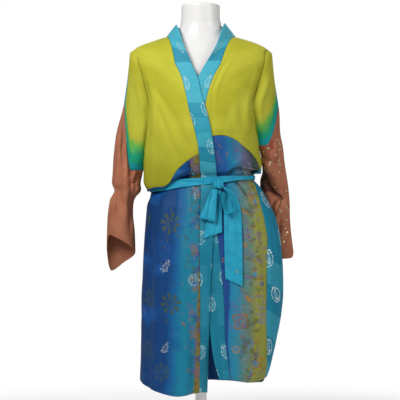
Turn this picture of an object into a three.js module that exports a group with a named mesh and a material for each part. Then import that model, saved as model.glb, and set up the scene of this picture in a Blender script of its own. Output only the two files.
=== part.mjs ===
// A patchwork kimono robe with a tie belt, worn by a limbless display form on a low stand.
// Units are millimetres, +Z is up, the garment faces -Y and the wearer's right is at -X.
// The origin is the centre of the stand's underside. Each cut piece of cloth is a wall over its own
// share of one net of points, so that neighbours meet along the same line and never cross.
import * as THREE from "three";

// ---- driving dimensions ----
const CLOTH = 1.6; // wall of a single layer
const BAND_CLOTH = 2.4; // the front band is folded double
const BELT_CLOTH = 2.6;
const SEAM_INSET = 0.28; // each piece stops this far short of its seam
const SQUARENESS = 2.25; // exponent of the garment's oval sections
const OVERLAP_LIFT = 5.2; // how far the wearer's right front stands off the left one
const REST_GAP = 0.35; // between two pieces that lie on each other
const SHOULDER_RISE = 4; // rows between the shoulder seam and the chest ring
const CHEST_ROWS = 7; // rows between the chest ring and the armpit
const WAIST_ROWS = 4; // rows between the armpit and the waist seam
const SKIRT_ROWS = 18;
const FRONT_COLUMNS = 10;
const SIDE_PANEL_COLUMNS = 2; // columns of each front and back that the side panel takes
const NECK_COLUMNS = 6; // of the back, on each side of the centre, that end at the neck
const BACK_COLUMNS = NECK_COLUMNS + FRONT_COLUMNS / 2; // on each side of the centre back
const DROP_COLUMNS = 7; // from the armpit valley to the top fold of the sleeve
const SLEEVE_ROWS = 12;
const BAND_COLUMNS = 2;

// ---- the garment's sections ----
// Ring 0 is the chest, 8 the lower edge of the blouse, 10 the belt and 19 the hem. Half widths to the
// wearer's right and left, depths to the front and back, and how far each side sits behind the axis.
const rings = [
  { ring: 0, right: 190, left: 192, front: 106, back: 98, rightY: 0, leftY: 0 },
  { ring: 1, right: 172, left: 175, front: 120, back: 105, rightY: 0, leftY: 0 },
  { ring: 2, right: 158, left: 160, front: 134, back: 108, rightY: 0, leftY: 0 },
  { ring: 3, right: 156, left: 156, front: 143, back: 108, rightY: 0, leftY: 0 },
  { ring: 4, right: 159, left: 158, front: 143, back: 108, rightY: 0, leftY: 0 },
  { ring: 5, right: 161, left: 161, front: 137, back: 108, rightY: 0, leftY: 0 },
  { ring: 6, right: 161.5, left: 164, front: 128, back: 110, rightY: 0, leftY: 0 },
  { ring: 7, right: 161.5, left: 170, front: 119, back: 110, rightY: 0, leftY: 0 },
  { ring: 8, right: 160, left: 167, front: 110, back: 104, rightY: 0, leftY: 0 },
  { ring: 9, right: 141, left: 150, front: 100.5, back: 91, rightY: 0, leftY: 0 },
  { ring: 10, right: 139, left: 148, front: 99, back: 89, rightY: 0, leftY: 0 },
  { ring: 11, right: 142, left: 166, front: 103, back: 94, rightY: 0, leftY: -6 },
  { ring: 12, right: 151, left: 194, front: 116, back: 108, rightY: 0, leftY: -16 },
  { ring: 13, right: 155, left: 212, front: 126, back: 118, rightY: 0, leftY: -28 },
  { ring: 14, right: 159, left: 222, front: 134, back: 125, rightY: 0, leftY: -36 },
  { ring: 15, right: 162, left: 226, front: 140, back: 130, rightY: 0, leftY: -38 },
  { ring: 16, right: 166, left: 226, front: 142, back: 132, rightY: 0, leftY: -36 },
  { ring: 17, right: 168, left: 216, front: 140, back: 130, rightY: 0, leftY: -30 },
  { ring: 18, right: 169, left: 199, front: 135, back: 127, rightY: 0, leftY: -20 },
  { ring: 19, right: 171, left: 184, front: 129, back: 123, rightY: 0, leftY: -10 },
];

// Height of each ring at the stations of turn 0 (centre front), 0.11, 0.24, 0.5 (side) and 1 (centre
// back), on the wearer's right and left. The blouse droops over the belt on the right.
const RIGHT_STATIONS = ["centre", "right1", "right2", "rightSide", "back"];
const LEFT_STATIONS = ["centre", "left1", "left2", "leftSide", "back"];
const STATION_TURNS = [0, 0.11, 0.24, 0.5, 1];
const level = (ring, z) =>
  Object.fromEntries([["ring", ring], ...[...RIGHT_STATIONS, ...LEFT_STATIONS].map((s) => [s, z])]);
const heights = [
  level(0, 1040),
  level(1, 1000),
  level(2, 950),
  level(3, 905),
  level(4, 862),
  { ...level(5, 826), right1: 822, right2: 815, rightSide: 813, leftSide: 832, left2: 842, left1: 838 },
  { ...level(6, 787), right1: 780, right2: 768, rightSide: 764, leftSide: 800, left2: 813, left1: 803 },
  { ...level(7, 758), right1: 745, right2: 723, rightSide: 716, leftSide: 766, left2: 782, left1: 768 },
  { ...level(8, 740), right1: 722, right2: 694, rightSide: 687, leftSide: 738, left2: 754, left1: 742 },
  { ...level(9, 729), right1: 725, right2: 719, rightSide: 717, leftSide: 737, left2: 738, left1: 734 },
  { ...level(10, 715), right1: 708, right2: 698, rightSide: 695, leftSide: 722, left2: 722, left1: 719 },
  { ...level(11, 691), right1: 685, right2: 676, rightSide: 672, leftSide: 698, left2: 698, left1: 695 },
  level(12, 648),
  level(13, 602),
  level(14, 550),
  level(15, 480),
  level(16, 395),
  level(17, 305),
  level(18, 220),
  {
    ...level(19, 158),
    centre: 137,
    right1: 124,
    right2: 134,
    leftSide: 168,
    left2: 160,
    left1: 170,
    back: 142,
  },
];
const LEFT_CENTRE_HEM_RISE = 28; // the left front's hem rides higher at the centre
const LEFT_BACK_HEM_DROP = 20; // and the back's hem hangs lower just behind the left side

// The ring at which the plain top is sewn to the printed skirt, by turn from the centre front.
const waistSeam = [
  { turn: 0, right: 5.9, left: 4.75 },
  { turn: 0.11, right: 6.9, left: 5.0 },
  { turn: 0.18, right: 7.8, left: 5.45 },
  { turn: 0.24, right: 7.95, left: 6.15 },
  { turn: 0.5, right: 7.9, left: 7.8 },
  { turn: 0.62, right: 7.3, left: 7.2 },
  { turn: 1, right: 6.5, left: 6.5 },
];

// Where each front's band is sewn on and where its free edge runs, by height: distance from the
// centre towards the wearer's left. The right front lies on top.
const bandLines = [
  { z: 120, rightSeam: -4, rightFree: 17, rightTurn: 28, leftSeam: 82, leftFree: 55 },
  { z: 165, rightSeam: -4, rightFree: 18, rightTurn: 27, leftSeam: 81, leftFree: 50 },
  { z: 230, rightSeam: -3, rightFree: 21, rightTurn: 20, leftSeam: 76, leftFree: 35 },
  { z: 302, rightSeam: -2, rightFree: 22.5, rightTurn: 4.5, leftSeam: 67, leftFree: 25 },
  { z: 372, rightSeam: -2, rightFree: 25, rightTurn: 0, leftSeam: 64, leftFree: 20 },
  { z: 445, rightSeam: -3, rightFree: 27, rightTurn: 0, leftSeam: 59, leftFree: 14 },
  { z: 538, rightSeam: -4, rightFree: 32, rightTurn: 0, leftSeam: 49, leftFree: 4 },
  { z: 640, rightSeam: -2, rightFree: 40, rightTurn: 0, leftSeam: 35, leftFree: -10 },
  { z: 716, rightSeam: 0, rightFree: 44, rightTurn: 0, leftSeam: 22, leftFree: -22 },
  { z: 760, rightSeam: -3, rightFree: 41, rightTurn: 0, leftSeam: 15, leftFree: -30 },
  { z: 810, rightSeam: -8, rightFree: 35, rightTurn: 0, leftSeam: 9, leftFree: -36 },
  { z: 865, rightSeam: -20, rightFree: 25, rightTurn: 0, leftSeam: 6, leftFree: -39 },
  { z: 905, rightSeam: -31, rightFree: 16, rightTurn: 0, leftSeam: 9, leftFree: -37 },
  { z: 945, rightSeam: -39, rightFree: 4, rightTurn: 0, leftSeam: 16, leftFree: -29 },
  { z: 1000, rightSeam: -53, rightFree: -9, rightTurn: 0, leftSeam: 34, leftFree: -9 },
  { z: 1040, rightSeam: -72, rightFree: -26, rightTurn: 0, leftSeam: 55, leftFree: 13 },
];

// The armpit valley and the armhole on each side: distance from the centre, by height.
const valleys = {
  right: [
    { z: 747, x: 162 },
    { z: 806, x: 157 },
    { z: 868, x: 150 },
    { z: 935, x: 145 },
    { z: 982, x: 152 },
    { z: 1040, x: 172 },
  ],
  left: [
    { z: 809, x: 162 },
    { z: 838, x: 158 },
    { z: 873, x: 151 },
    { z: 929, x: 144 },
    { z: 963, x: 149 },
    { z: 1000, x: 159 },
    { z: 1040, x: 175 },
  ],
};
const armpitRing = { right: 6.35, left: 5.6 };
const ARMPIT_OPENING = 5; // half the gap left between front and back at the armpit

// The shoulder seam from the neck to the tip, and the back neckline from the neck to the centre back.
const shoulderLine = [
  { x: 97, y: -3, z: 1121 },
  { x: 125, y: 0, z: 1113 },
  { x: 155, y: 2, z: 1103 },
  { x: 178, y: 2, z: 1093 },
  { x: 190, y: 2, z: 1084 },
];
const neckline = [
  { x: 0, y: 91, z: 1105 },
  { x: 45, y: 82, z: 1111 },
  { x: 78, y: 50, z: 1119 },
  { x: 97, y: -3, z: 1121 },
];
// The free edge of the collar, from the chest ring up over the shoulder to the centre back.
const collarEdge = {
  right: [
    { step: 0, x: 26, y: -112, z: 1040 },
    { step: 1, x: 38, y: -106, z: 1068 },
    { step: 2, x: 50, y: -92, z: 1096 },
    { step: 3, x: 61, y: -60, z: 1134 },
    { step: 4, x: 69, y: -12, z: 1156 },
    { step: 5, x: 70, y: 30, z: 1156 },
    { step: 6, x: 58, y: 62, z: 1151 },
    { step: 7, x: 34, y: 80, z: 1147 },
    { step: 8, x: 0, y: 87, z: 1145 },
  ],
  left: [
    { step: 0, x: 13, y: -109, z: 1040 },
    { step: 1, x: 31, y: -104, z: 1070 },
    { step: 2, x: 46, y: -90, z: 1100 },
    { step: 3, x: 58, y: -58, z: 1138 },
    { step: 4, x: 66, y: -12, z: 1160 },
    { step: 5, x: 68, y: 30, z: 1158 },
    { step: 6, x: 57, y: 62, z: 1152 },
    { step: 7, x: 34, y: 80, z: 1147 },
    { step: 8, x: 0, y: 87, z: 1145 },
  ],
};
const COLLAR_SIDE_STEP = 4; // the step of the collar that stands over the shoulder seam

// The drop of the shoulder (reach 0 to 1) and the sleeve (reach 1 to 2): its inner fold, its top fold
// how far it bulges fore and aft, and how wide its oval opens inwards (0 is a full oval). Above the
// seam the inner points are the valley's own.
const limbs = {
  right: [
    { reach: 0, inX: 0, inY: 0, inZ: 0, outX: 199, outY: 3, outZ: 1077, fore: 6, aft: 6, open: 0.9 },
    { reach: 0.25, inX: 0, inY: 0, inZ: 0, outX: 202, outY: 4, outZ: 1043, fore: 16, aft: 14, open: 0.9 },
    { reach: 0.5, inX: 0, inY: 0, inZ: 0, outX: 206, outY: 5, outZ: 1008, fore: 26, aft: 22, open: 0.85 },
    { reach: 0.75, inX: 0, inY: 0, inZ: 0, outX: 211, outY: 6, outZ: 973, fore: 36, aft: 30, open: 0.85 },
    { reach: 1, inX: 162, inY: 0, inZ: 746, outX: 216, outY: 8, outZ: 937, fore: 44, aft: 34, open: 0.85 },
    { reach: 1.2, inX: 173, inY: 2, inZ: 708, outX: 236, outY: 10, outZ: 860, fore: 42, aft: 33, open: 0.1 },
    { reach: 1.4, inX: 188, inY: 4, inZ: 670, outX: 247, outY: 11, outZ: 780, fore: 34, aft: 28, open: 0 },
    { reach: 1.6, inX: 191, inY: 4, inZ: 622, outX: 254, outY: 12, outZ: 690, fore: 28, aft: 26, open: 0 },
    { reach: 1.8, inX: 186, inY: 2, inZ: 568, outX: 264, outY: 10, outZ: 600, fore: 28, aft: 28, open: 0 },
    { reach: 2, inX: 184, inY: 0, inZ: 516, outX: 265, outY: 6, outZ: 512, fore: 31, aft: 31, open: 0 },
  ],
  left: [
    { reach: 0, inX: 0, inY: 0, inZ: 0, outX: 199, outY: 3, outZ: 1077, fore: 6, aft: 6, open: 0.9 },
    { reach: 0.25, inX: 0, inY: 0, inZ: 0, outX: 202, outY: 4, outZ: 1043, fore: 16, aft: 14, open: 0.9 },
    { reach: 0.5, inX: 0, inY: 0, inZ: 0, outX: 206, outY: 5, outZ: 1008, fore: 26, aft: 22, open: 0.85 },
    { reach: 0.75, inX: 0, inY: 0, inZ: 0, outX: 211, outY: 7, outZ: 970, fore: 32, aft: 30, open: 0.85 },
    { reach: 1, inX: 162, inY: 0, inZ: 809, outX: 218, outY: 9, outZ: 928, fore: 36, aft: 34, open: 0.85 },
    { reach: 1.08, inX: 169, inY: 3, inZ: 786, outX: 221, outY: 11, outZ: 898, fore: 34, aft: 34, open: 0.5 },
    { reach: 1.2, inX: 174, inY: 13, inZ: 750, outX: 225, outY: 17, outZ: 850, fore: 31, aft: 33, open: 0.1 },
    { reach: 1.3, inX: 167, inY: 28, inZ: 718, outX: 232, outY: 26, outZ: 806, fore: 31, aft: 31, open: 0 },
    { reach: 1.4, inX: 168, inY: 40, inZ: 690, outX: 239, outY: 36, outZ: 762, fore: 30, aft: 29, open: 0 },
    { reach: 1.6, inX: 181, inY: 52, inZ: 628, outX: 251, outY: 52, outZ: 672, fore: 27, aft: 27, open: 0 },
    { reach: 1.8, inX: 196, inY: 62, inZ: 562, outX: 255, outY: 60, outZ: 590, fore: 24, aft: 24, open: 0 },
    { reach: 2, inX: 203, inY: 64, inZ: 492, outX: 264, outY: 60, outZ: 513, fore: 23, aft: 23, open: 0 },
  ],
};
// How far each cuff's edge hangs above or below the line between its two folds, round the sleeve:
// lap -1 is the inner fold, 0 the top fold and 1 the inner fold again past the back.
const cuffs = {
  right: [
    { lap: -1, rise: 0 },
    { lap: -0.75, rise: 18 },
    { lap: -0.4, rise: 44 },
    { lap: -0.2, rise: 52 },
    { lap: 0, rise: 6 },
    { lap: 0.25, rise: -50 },
    { lap: 0.6, rise: -24 },
    { lap: 1, rise: 0 },
  ],
  left: [
    { lap: -1, rise: 0 },
    { lap: -0.55, rise: -6 },
    { lap: -0.2, rise: -10 },
    { lap: 0, rise: 0 },
    { lap: 0.3, rise: 12 },
    { lap: 0.7, rise: 10 },
    { lap: 1, rise: 0 },
  ],
};
// Where along a row the seam with the sleeve climbs to the top fold.
const climbStart = { right: 0.5, left: 0.28, back: 0 };

// The largest folds: a soft trough (depth) or ridge (negative) that runs down the cloth.
const folds = [
  { side: "right", turn: 0.035, wide: 0.016, depth: 15, from: 15.6, to: 20, lean: 0.001 },
  { side: "right", turn: 0.3, wide: 0.03, depth: 5, from: 11, to: 20, lean: 0.003 },
  { side: "right", turn: 0.15, wide: 0.03, depth: 4, from: 2.4, to: 9, lean: 0.006 },
  { side: "right", turn: 0.28, wide: 0.03, depth: 5, from: 3, to: 9, lean: -0.004 },
  { side: "left", turn: 0.17, wide: 0.025, depth: 5, from: 10.4, to: 14, lean: 0.012 },
  { side: "left", turn: 0.17, wide: 0.03, depth: 4, from: 2.4, to: 8, lean: 0.004 },
  { side: "left", turn: 0.3, wide: 0.03, depth: 4, from: 12, to: 20, lean: -0.004 },
];
const BACK_GATHERS = 7; // folds that fall from the belt across the back
const GATHER_DEPTH = { top: 3, belt: 3.5, hem: 8 };

// ---- smooth tables ----
const clamp = (v, low, high) => Math.min(high, Math.max(low, v));
const mix = (a, b, share) => a + (b - a) * share;
const ease = (v) => {
  const s = clamp(v, 0, 1);
  return s * s * (3 - 2 * s);
};

// A named column of a table at a position along its key column: a cubic that never overshoots.
function along(table, key, column, at) {
  const last = table.length - 1;
  const place = clamp(at, table[0][key], table[last][key]);
  let i = 0;
  while (i < last - 1 && place > table[i + 1][key]) i += 1;
  const slope = (k) => (table[k + 1][column] - table[k][column]) / (table[k + 1][key] - table[k][key]);
  const tangent = (k) => {
    if (k === 0) return slope(0);
    if (k === last) return slope(last - 1);
    const before = slope(k - 1);
    const after = slope(k);
    return before * after <= 0 ? 0 : (2 * before * after) / (before + after);
  };
  const step = table[i + 1][key] - table[i][key];
  const s = (place - table[i][key]) / step;
  const rise = table[i + 1][column] - table[i][column];
  const bend = step * (tangent(i) + tangent(i + 1)) - 2 * rise;
  return table[i][column] + step * tangent(i) * s * (1 - s) + rise * s * s + bend * s * s * (s - 1) + 0;
}

// ---- the body of the garment ----
const signOf = (side) => (side === "right" ? -1 : 1);

function heightAt(side, turn, ring) {
  const stations = side === "right" ? RIGHT_STATIONS : LEFT_STATIONS;
  const rows = STATION_TURNS.map((t, i) => ({ turn: t, z: along(heights, "ring", stations[i], ring) }));
  const even = along(rows, "turn", "z", Math.abs(turn));
  if (side === "right") return even;
  const rise = LEFT_CENTRE_HEM_RISE * ease(1 - turn / 0.11) * ease((ring - 15) / 4);
  const behind = ease((turn - 0.52) / 0.1) * ease((1 - turn) / 0.3);
  return even + rise - LEFT_BACK_HEM_DROP * behind * ease((ring - 16) / 3);
}

function foldDepth(side, turn, ring) {
  let depth = 0;
  for (const f of folds) {
    if (f.side !== side) continue;
    const middle = f.turn + f.lean * (ring - f.from);
    const window = ease((ring - f.from) / 2.5) * ease((f.to - ring) / 1.5);
    depth += f.depth * window * Math.exp(-(((turn - middle) / f.wide) ** 2));
  }
  const behind = ease((turn - 0.54) / 0.1);
  const reach =
    ring < 10
      ? mix(0, GATHER_DEPTH.top, ease((ring - 4) / 4))
      : mix(GATHER_DEPTH.belt, GATHER_DEPTH.hem, ease((ring - 10) / 6));
  const phase = Math.PI * BACK_GATHERS * (signOf(side) * (1 - turn) + 0.06 * Math.sin(9 * turn));
  return depth + behind * reach * (0.5 + 0.5 * Math.cos(2 * phase));
}

// A point of the body: turn 0 is the centre front, 0.5 the side and 1 the centre back.
function bodyPoint(side, turn, ring, lift = 0) {
  const angle = Math.PI * turn;
  const wide = along(rings, "ring", side, ring);
  const deep = along(rings, "ring", turn < 0.5 ? "front" : "back", ring);
  const across = Math.sign(Math.sin(angle)) * Math.abs(Math.sin(angle)) ** (2 / SQUARENESS);
  const fore = -Math.sign(Math.cos(angle)) * Math.abs(Math.cos(angle)) ** (2 / SQUARENESS);
  const sideY = along(rings, "ring", side + "Y", ring) * Math.abs(across) ** 3;
  const normal = new THREE.Vector2(
    (Math.sign(across) * Math.abs(across) ** (SQUARENESS - 1)) / wide,
    (Math.sign(fore) * Math.abs(fore) ** (SQUARENESS - 1)) / deep,
  ).normalize();
  const out = lift - foldDepth(side, turn, ring);
  return new THREE.Vector3(
    signOf(side) * (across * wide + normal.x * out),
    fore * deep + sideY + normal.y * out,
    heightAt(side, turn, ring),
  );
}

// The turn at which the section of a ring is a given distance from the centre plane.
function turnAt(side, x, ring) {
  const share = clamp((signOf(side) * x) / along(rings, "ring", side, ring), -1, 1);
  return (Math.sign(share) * Math.asin(Math.abs(share) ** (SQUARENESS / 2))) / Math.PI;
}

// The distance from the centre plane of a turn on a ring, towards the wearer's left.
function acrossAt(side, turn, ring) {
  const sine = Math.sin(Math.PI * turn);
  const share = Math.sign(sine) * Math.abs(sine) ** (2 / SQUARENESS);
  return signOf(side) * along(rings, "ring", side, ring) * share;
}

// How far the right front stands off the left one: all of it past the centre, none at the side.
const overlapLift = (side, x) => (side === "right" ? OVERLAP_LIFT * ease((x + 78) / 50) : 0);

// The ring that passes a height, at a distance from the centre of one front.
function ringAtHeight(side, x, z) {
  let low = 0;
  let high = 19;
  for (let i = 0; i < 18; i += 1) {
    const middle = (low + high) / 2;
    if (heightAt(side, turnAt(side, x, middle), middle) > z) low = middle;
    else high = middle;
  }
  return (low + high) / 2;
}

// A point of either front. Past the centre it follows the other side's front at the same height.
function frontPoint(side, x, ring) {
  const lift = overlapLift(side, x);
  const point = bodyPoint(side, turnAt(side, x, ring), ring, lift);
  if (signOf(side) * x >= 0) return point;
  const other = side === "right" ? "left" : "right";
  const otherRing = ringAtHeight(other, x, point.z);
  point.y = bodyPoint(other, turnAt(other, x, otherRing), otherRing, lift).y;
  return point;
}

// How far forward the body reaches at a place on its front, before any overlap.
function frontY(x, z) {
  const side = x < 0 ? "right" : "left";
  const ring = ringAtHeight(side, x, z);
  return bodyPoint(side, turnAt(side, x, ring), ring).y;
}

const centreHeight = (side, ring) => heightAt(side, 0, ring);
const seamX = (side, ring) => along(bandLines, "z", side + "Seam", centreHeight(side, ring));
const seamRing = (side, turn) => along(waistSeam, "turn", side, turn);
const armpitShare = (side) => armpitRing[side] / seamRing(side, 0.5);

// The turn at which a row of the top ends: the armpit valley, then the side seam below the armpit.
function edgeTurn(side, face, row) {
  if (row > ARMPIT_ROW) return 0.5;
  const ring = topRing(side, Math.max(row, SHOULDER_RISE), seamRing(side, 0.5));
  const reach = along(rings, "ring", side, ring) - 0.05;
  const x = Math.min(along(valleys[side], "z", "x", heightAt(side, 0.5, ring)), reach);
  const turn = turnAt(side, signOf(side) * x, ring);
  return face === "front" ? turn : 1 - turn;
}

// A curve that leaves a seam on top level and comes down onto the chest or the shoulder blade. Its
// rows crowd towards the top, where it bends most.
function overShoulder(top, ringPoint, rowShare) {
  const share = rowShare * mix(0.5, 1, rowShare);
  const steep = 1.15;
  const angle = share * steep;
  return new THREE.Vector3(
    mix(top.x, ringPoint.x, share),
    mix(top.y, ringPoint.y, Math.sin(angle) / Math.sin(steep)),
    mix(top.z, ringPoint.z, (1 - Math.cos(angle)) / (1 - Math.cos(steep))),
  );
}

function shoulderPoint(side, share) {
  const x = mix(shoulderLine[0].x, shoulderLine.at(-1).x, share);
  const y = along(shoulderLine, "x", "y", x);
  return new THREE.Vector3(signOf(side) * x, y, along(shoulderLine, "x", "z", x));
}

// ---- grids of the net ----
const TOP_ROWS = SHOULDER_RISE + CHEST_ROWS + WAIST_ROWS;
const ARMPIT_ROW = SHOULDER_RISE + CHEST_ROWS;

// The ring of a row of the top, at a turn whose waist seam lies at ring `seam`.
function topRing(side, row, seam) {
  const armpit = armpitShare(side) * seam;
  if (row <= ARMPIT_ROW) return (armpit * (row - SHOULDER_RISE)) / CHEST_ROWS;
  return mix(armpit, seam, (row - ARMPIT_ROW) / WAIST_ROWS);
}

// Front of the top: column 0 is the band's seam and the last one is the valley, then the side seam.
function frontTop(side, column, row) {
  const share = column / FRONT_COLUMNS;
  const seam = seamRing(side, 0.5 * share);
  const ring = topRing(side, Math.max(row, SHOULDER_RISE), seam);
  const start = seamX(side, ring);
  const turn = mix(turnAt(side, start, ring), edgeTurn(side, "front", row), share);
  const point = bodyPoint(side, turn, ring, overlapLift(side, acrossAt(side, turn, ring)));
  if (row === ARMPIT_ROW && column === FRONT_COLUMNS) point.y -= ARMPIT_OPENING;
  if (row >= SHOULDER_RISE) return point;
  return overShoulder(shoulderVertex(side, column), point, row / SHOULDER_RISE);
}

// The shoulder seam's vertices: the front has twice as many columns as the back, on the same lines.
function shoulderVertex(side, column) {
  const at = (c) => shoulderPoint(side, c / FRONT_COLUMNS);
  return column % 2 === 0 ? at(column) : at(column - 1).lerp(at(column + 1), 0.5);
}

// Back of the top: columns run from the wearer's left side to the right one.
function backTop(column, row) {
  const signed = 1 - column / BACK_COLUMNS; // 1 at the left side, -1 at the right one
  const side = signed > 0 ? "left" : "right";
  const share = Math.abs(signed);
  const seam = seamRing(side, 1 - 0.5 * share);
  const balance = mix(armpitShare("right"), armpitShare("left"), (signed + 1) / 2);
  const stopRow = Math.max(row, SHOULDER_RISE);
  const armpit = balance * seam;
  const ring =
    stopRow <= ARMPIT_ROW
      ? (armpit * (stopRow - SHOULDER_RISE)) / CHEST_ROWS
      : mix(armpit, seam, (stopRow - ARMPIT_ROW) / WAIST_ROWS);
  const turn = mix(1, edgeTurn(side, "back", row), share);
  const point = bodyPoint(side, turn, ring);
  if (row === ARMPIT_ROW && share === 1) point.y += ARMPIT_OPENING;
  if (row >= SHOULDER_RISE) return point;
  const out = Math.abs(column - BACK_COLUMNS);
  const top =
    out >= NECK_COLUMNS
      ? shoulderVertex(side, 2 * (out - NECK_COLUMNS))
      : necklinePoint(side, out / NECK_COLUMNS);
  return overShoulder(top, point, row / SHOULDER_RISE);
}

function necklinePoint(side, share) {
  const steps = neckline.map((row, i) => ({ ...row, step: i / (neckline.length - 1) }));
  const at = (column) => along(steps, "step", column, share);
  return new THREE.Vector3(signOf(side) * at("x"), at("y"), at("z"));
}

// The printed skirt from the waist seam to the hem.
const sideSeamX = [
  { ring: 9, x: 146 },
  { ring: 10, x: 146 },
  { ring: 11, x: 153 },
  { ring: 12, x: 166 },
  { ring: 13, x: 177 },
  { ring: 14, x: 185 },
  { ring: 15, x: 184 },
  { ring: 17, x: 182 },
  { ring: 18, x: 183 },
  { ring: 19, x: 178 },
];
// Rows bunch at the lower edge of the blouse and at the belt, then spread to the hem.
function skirtRing(row, seam) {
  const gather = [
    { row: 0, ring: seam },
    { row: 2, ring: Math.max(8, mix(seam, 9, 0.67)) },
    { row: 3, ring: 9 },
    { row: 5, ring: 10 },
    { row: 6, ring: 10.4 },
    { row: 7, ring: 10.85 },
    { row: 8, ring: 11.5 },
    { row: SKIRT_ROWS, ring: 19 },
  ];
  return along(gather, "row", "ring", row);
}

function skirtFront(side, column, row) {
  if (row === 0) return frontTop(side, column, TOP_ROWS);
  const share = column / FRONT_COLUMNS;
  const ring = skirtRing(row, seamRing(side, 0.5 * share));
  const start = turnAt(side, seamX(side, ring), ring);
  if (side === "right") {
    const turn = mix(start, 0.5, share);
    return bodyPoint(side, turn, ring, overlapLift(side, acrossAt(side, turn, ring)));
  }
  const split = (FRONT_COLUMNS - SIDE_PANEL_COLUMNS) / FRONT_COLUMNS;
  const even = mix(start, 0.5, split);
  const sewn = turnAt("left", along(sideSeamX, "ring", "x", ring), ring);
  const panel = mix(even, sewn, ease((ring - 8) / 2));
  if (share <= split) return bodyPoint(side, mix(start, panel, share / split), ring);
  return bodyPoint(side, mix(panel, 0.5, (share - split) / (1 - split)), ring);
}

function skirtBack(column, row) {
  if (row === 0) return backTop(column, TOP_ROWS);
  const signed = 1 - column / BACK_COLUMNS;
  const side = signed > 0 ? "left" : "right";
  const turn = 1 - 0.5 * Math.abs(signed);
  return bodyPoint(side, turn, skirtRing(row, seamRing(side, turn)));
}

// ---- the dropped shoulder and the sleeve ----
function limbPoint(side, face, share, reach) {
  const at = (column) => along(limbs[side], "reach", column, reach);
  const sign = signOf(side);
  let inner = new THREE.Vector3(sign * at("inX"), at("inY"), at("inZ"));
  if (reach <= 1 && face === "front") inner = frontTop(side, FRONT_COLUMNS, reach * ARMPIT_ROW);
  if (reach <= 1 && face === "back") {
    inner = backTop(side === "left" ? 0 : 2 * BACK_COLUMNS, reach * ARMPIT_ROW);
  }
  const outer = new THREE.Vector3(sign * at("outX"), at("outY"), at("outZ"));
  const first = -Math.PI + at("open");
  const angle = mix(first, 0, share);
  const across = (Math.cos(angle) - Math.cos(first)) / (1 - Math.cos(first));
  const bulge = Math.sin(angle) - (1 - share) * Math.sin(first);
  const deep = face === "front" ? at("fore") : -at("aft");
  const start = climbStart[face === "front" ? side : "back"];
  const climb = ease((share - start) / (1 - start));
  const late = mix(share, climb, ease(reach * 1.2) * ease((2 - reach) / 0.7));
  const lap = (face === "front" ? -1 : 1) * (1 - share);
  const rise = along(cuffs[side], "lap", "rise", lap) * ease((reach - 1.3) / 0.7);
  return new THREE.Vector3(
    mix(inner.x, outer.x, across),
    mix(inner.y, outer.y, share) + deep * bulge,
    mix(inner.z, outer.z, late) + rise,
  );
}

// The dropped shoulder: rows follow the top's rows down to the armpit.
function dropPoint(side, face, column, row) {
  const reach = row / ARMPIT_ROW;
  return limbPoint(side, face, column / DROP_COLUMNS, reach);
}

// The sleeve: columns go from the inner fold over the front, the top fold and the back.
function sleevePoint(side, column, row) {
  const reach = 1 + row / SLEEVE_ROWS;
  const wrapped = row > 0 && column === 2 * DROP_COLUMNS ? 0 : column;
  if (wrapped <= DROP_COLUMNS) {
    if (row === 0) return dropPoint(side, "front", wrapped, ARMPIT_ROW);
    return limbPoint(side, "front", wrapped / DROP_COLUMNS, reach);
  }
  const share = (2 * DROP_COLUMNS - wrapped) / DROP_COLUMNS;
  if (row === 0) return dropPoint(side, "back", share * DROP_COLUMNS, ARMPIT_ROW);
  return limbPoint(side, "back", share, reach);
}

// ---- the band and collar ----
const COLLAR_STEPS = 8;

// Rows of the band: the collar from the centre back to the shoulder, then down the front to the hem.
const BAND_ROWS = NECK_COLUMNS + TOP_ROWS + SKIRT_ROWS;
function bandPoint(side, column, row) {
  const across = column / BAND_COLUMNS;
  const down = row - NECK_COLUMNS;
  const edge = (step) => {
    const at = (name) => along(collarEdge[side], "step", name, step);
    return new THREE.Vector3(signOf(side) * at("x"), at("y"), at("z"));
  };
  if (down < SHOULDER_RISE) {
    const sewn = down <= 0 ? backTop(BACK_COLUMNS + signOf(side) * -row, 0) : frontTop(side, 0, down);
    const share = down <= 0 ? row / NECK_COLUMNS : down / SHOULDER_RISE;
    const step = down <= 0 ? mix(COLLAR_STEPS, COLLAR_SIDE_STEP, share) : mix(COLLAR_SIDE_STEP, 0, share);
    const free = edge(step);
    return sewn.clone().lerp(free, across);
  }
  const top = down <= TOP_ROWS;
  const ring = top ? topRing(side, down, seamRing(side, 0)) : skirtRing(down - TOP_ROWS, seamRing(side, 0));
  if (column === 0) return top ? frontTop(side, 0, down) : skirtFront(side, 0, down - TOP_ROWS);
  const z = centreHeight(side, ring);
  const x = mix(seamX(side, ring), along(bandLines, "z", side + "Free", z), across);
  const point = frontPoint(side, x, ring);
  if (side === "right") point.y += along(bandLines, "z", "rightTurn", z) * across ** 1.5;
  return point;
}

// ---- the net: normals shared by all pieces that meet at a point ----
const keyOf = (p) => `${Math.round(p.x * 100)},${Math.round(p.y * 100)},${Math.round(p.z * 100)}`;
const sharedNormals = new Map();

// The quads of a grid, first column to last, first row to last, wound so that they face out.
function gridQuads(firstColumn, lastColumn, firstRow, lastRow, pointAt, flip = false) {
  const quads = [];
  for (let j = firstRow; j < lastRow; j += 1) {
    for (let i = firstColumn; i < lastColumn; i += 1) {
      const quad = [pointAt(i, j), pointAt(i + 1, j), pointAt(i + 1, j + 1), pointAt(i, j + 1)];
      quads.push(flip ? quad.reverse() : quad);
    }
  }
  return quads;
}

function areaNormal(quad) {
  const across = quad[2].clone().sub(quad[0]);
  return across.cross(quad[3].clone().sub(quad[1])).multiplyScalar(0.5);
}

function shareNormals(quads) {
  for (const quad of quads) {
    const normal = areaNormal(quad);
    for (const p of quad) {
      const sum = sharedNormals.get(keyOf(p)) ?? new THREE.Vector3();
      sharedNormals.set(keyOf(p), sum.add(normal));
    }
  }
}

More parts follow.
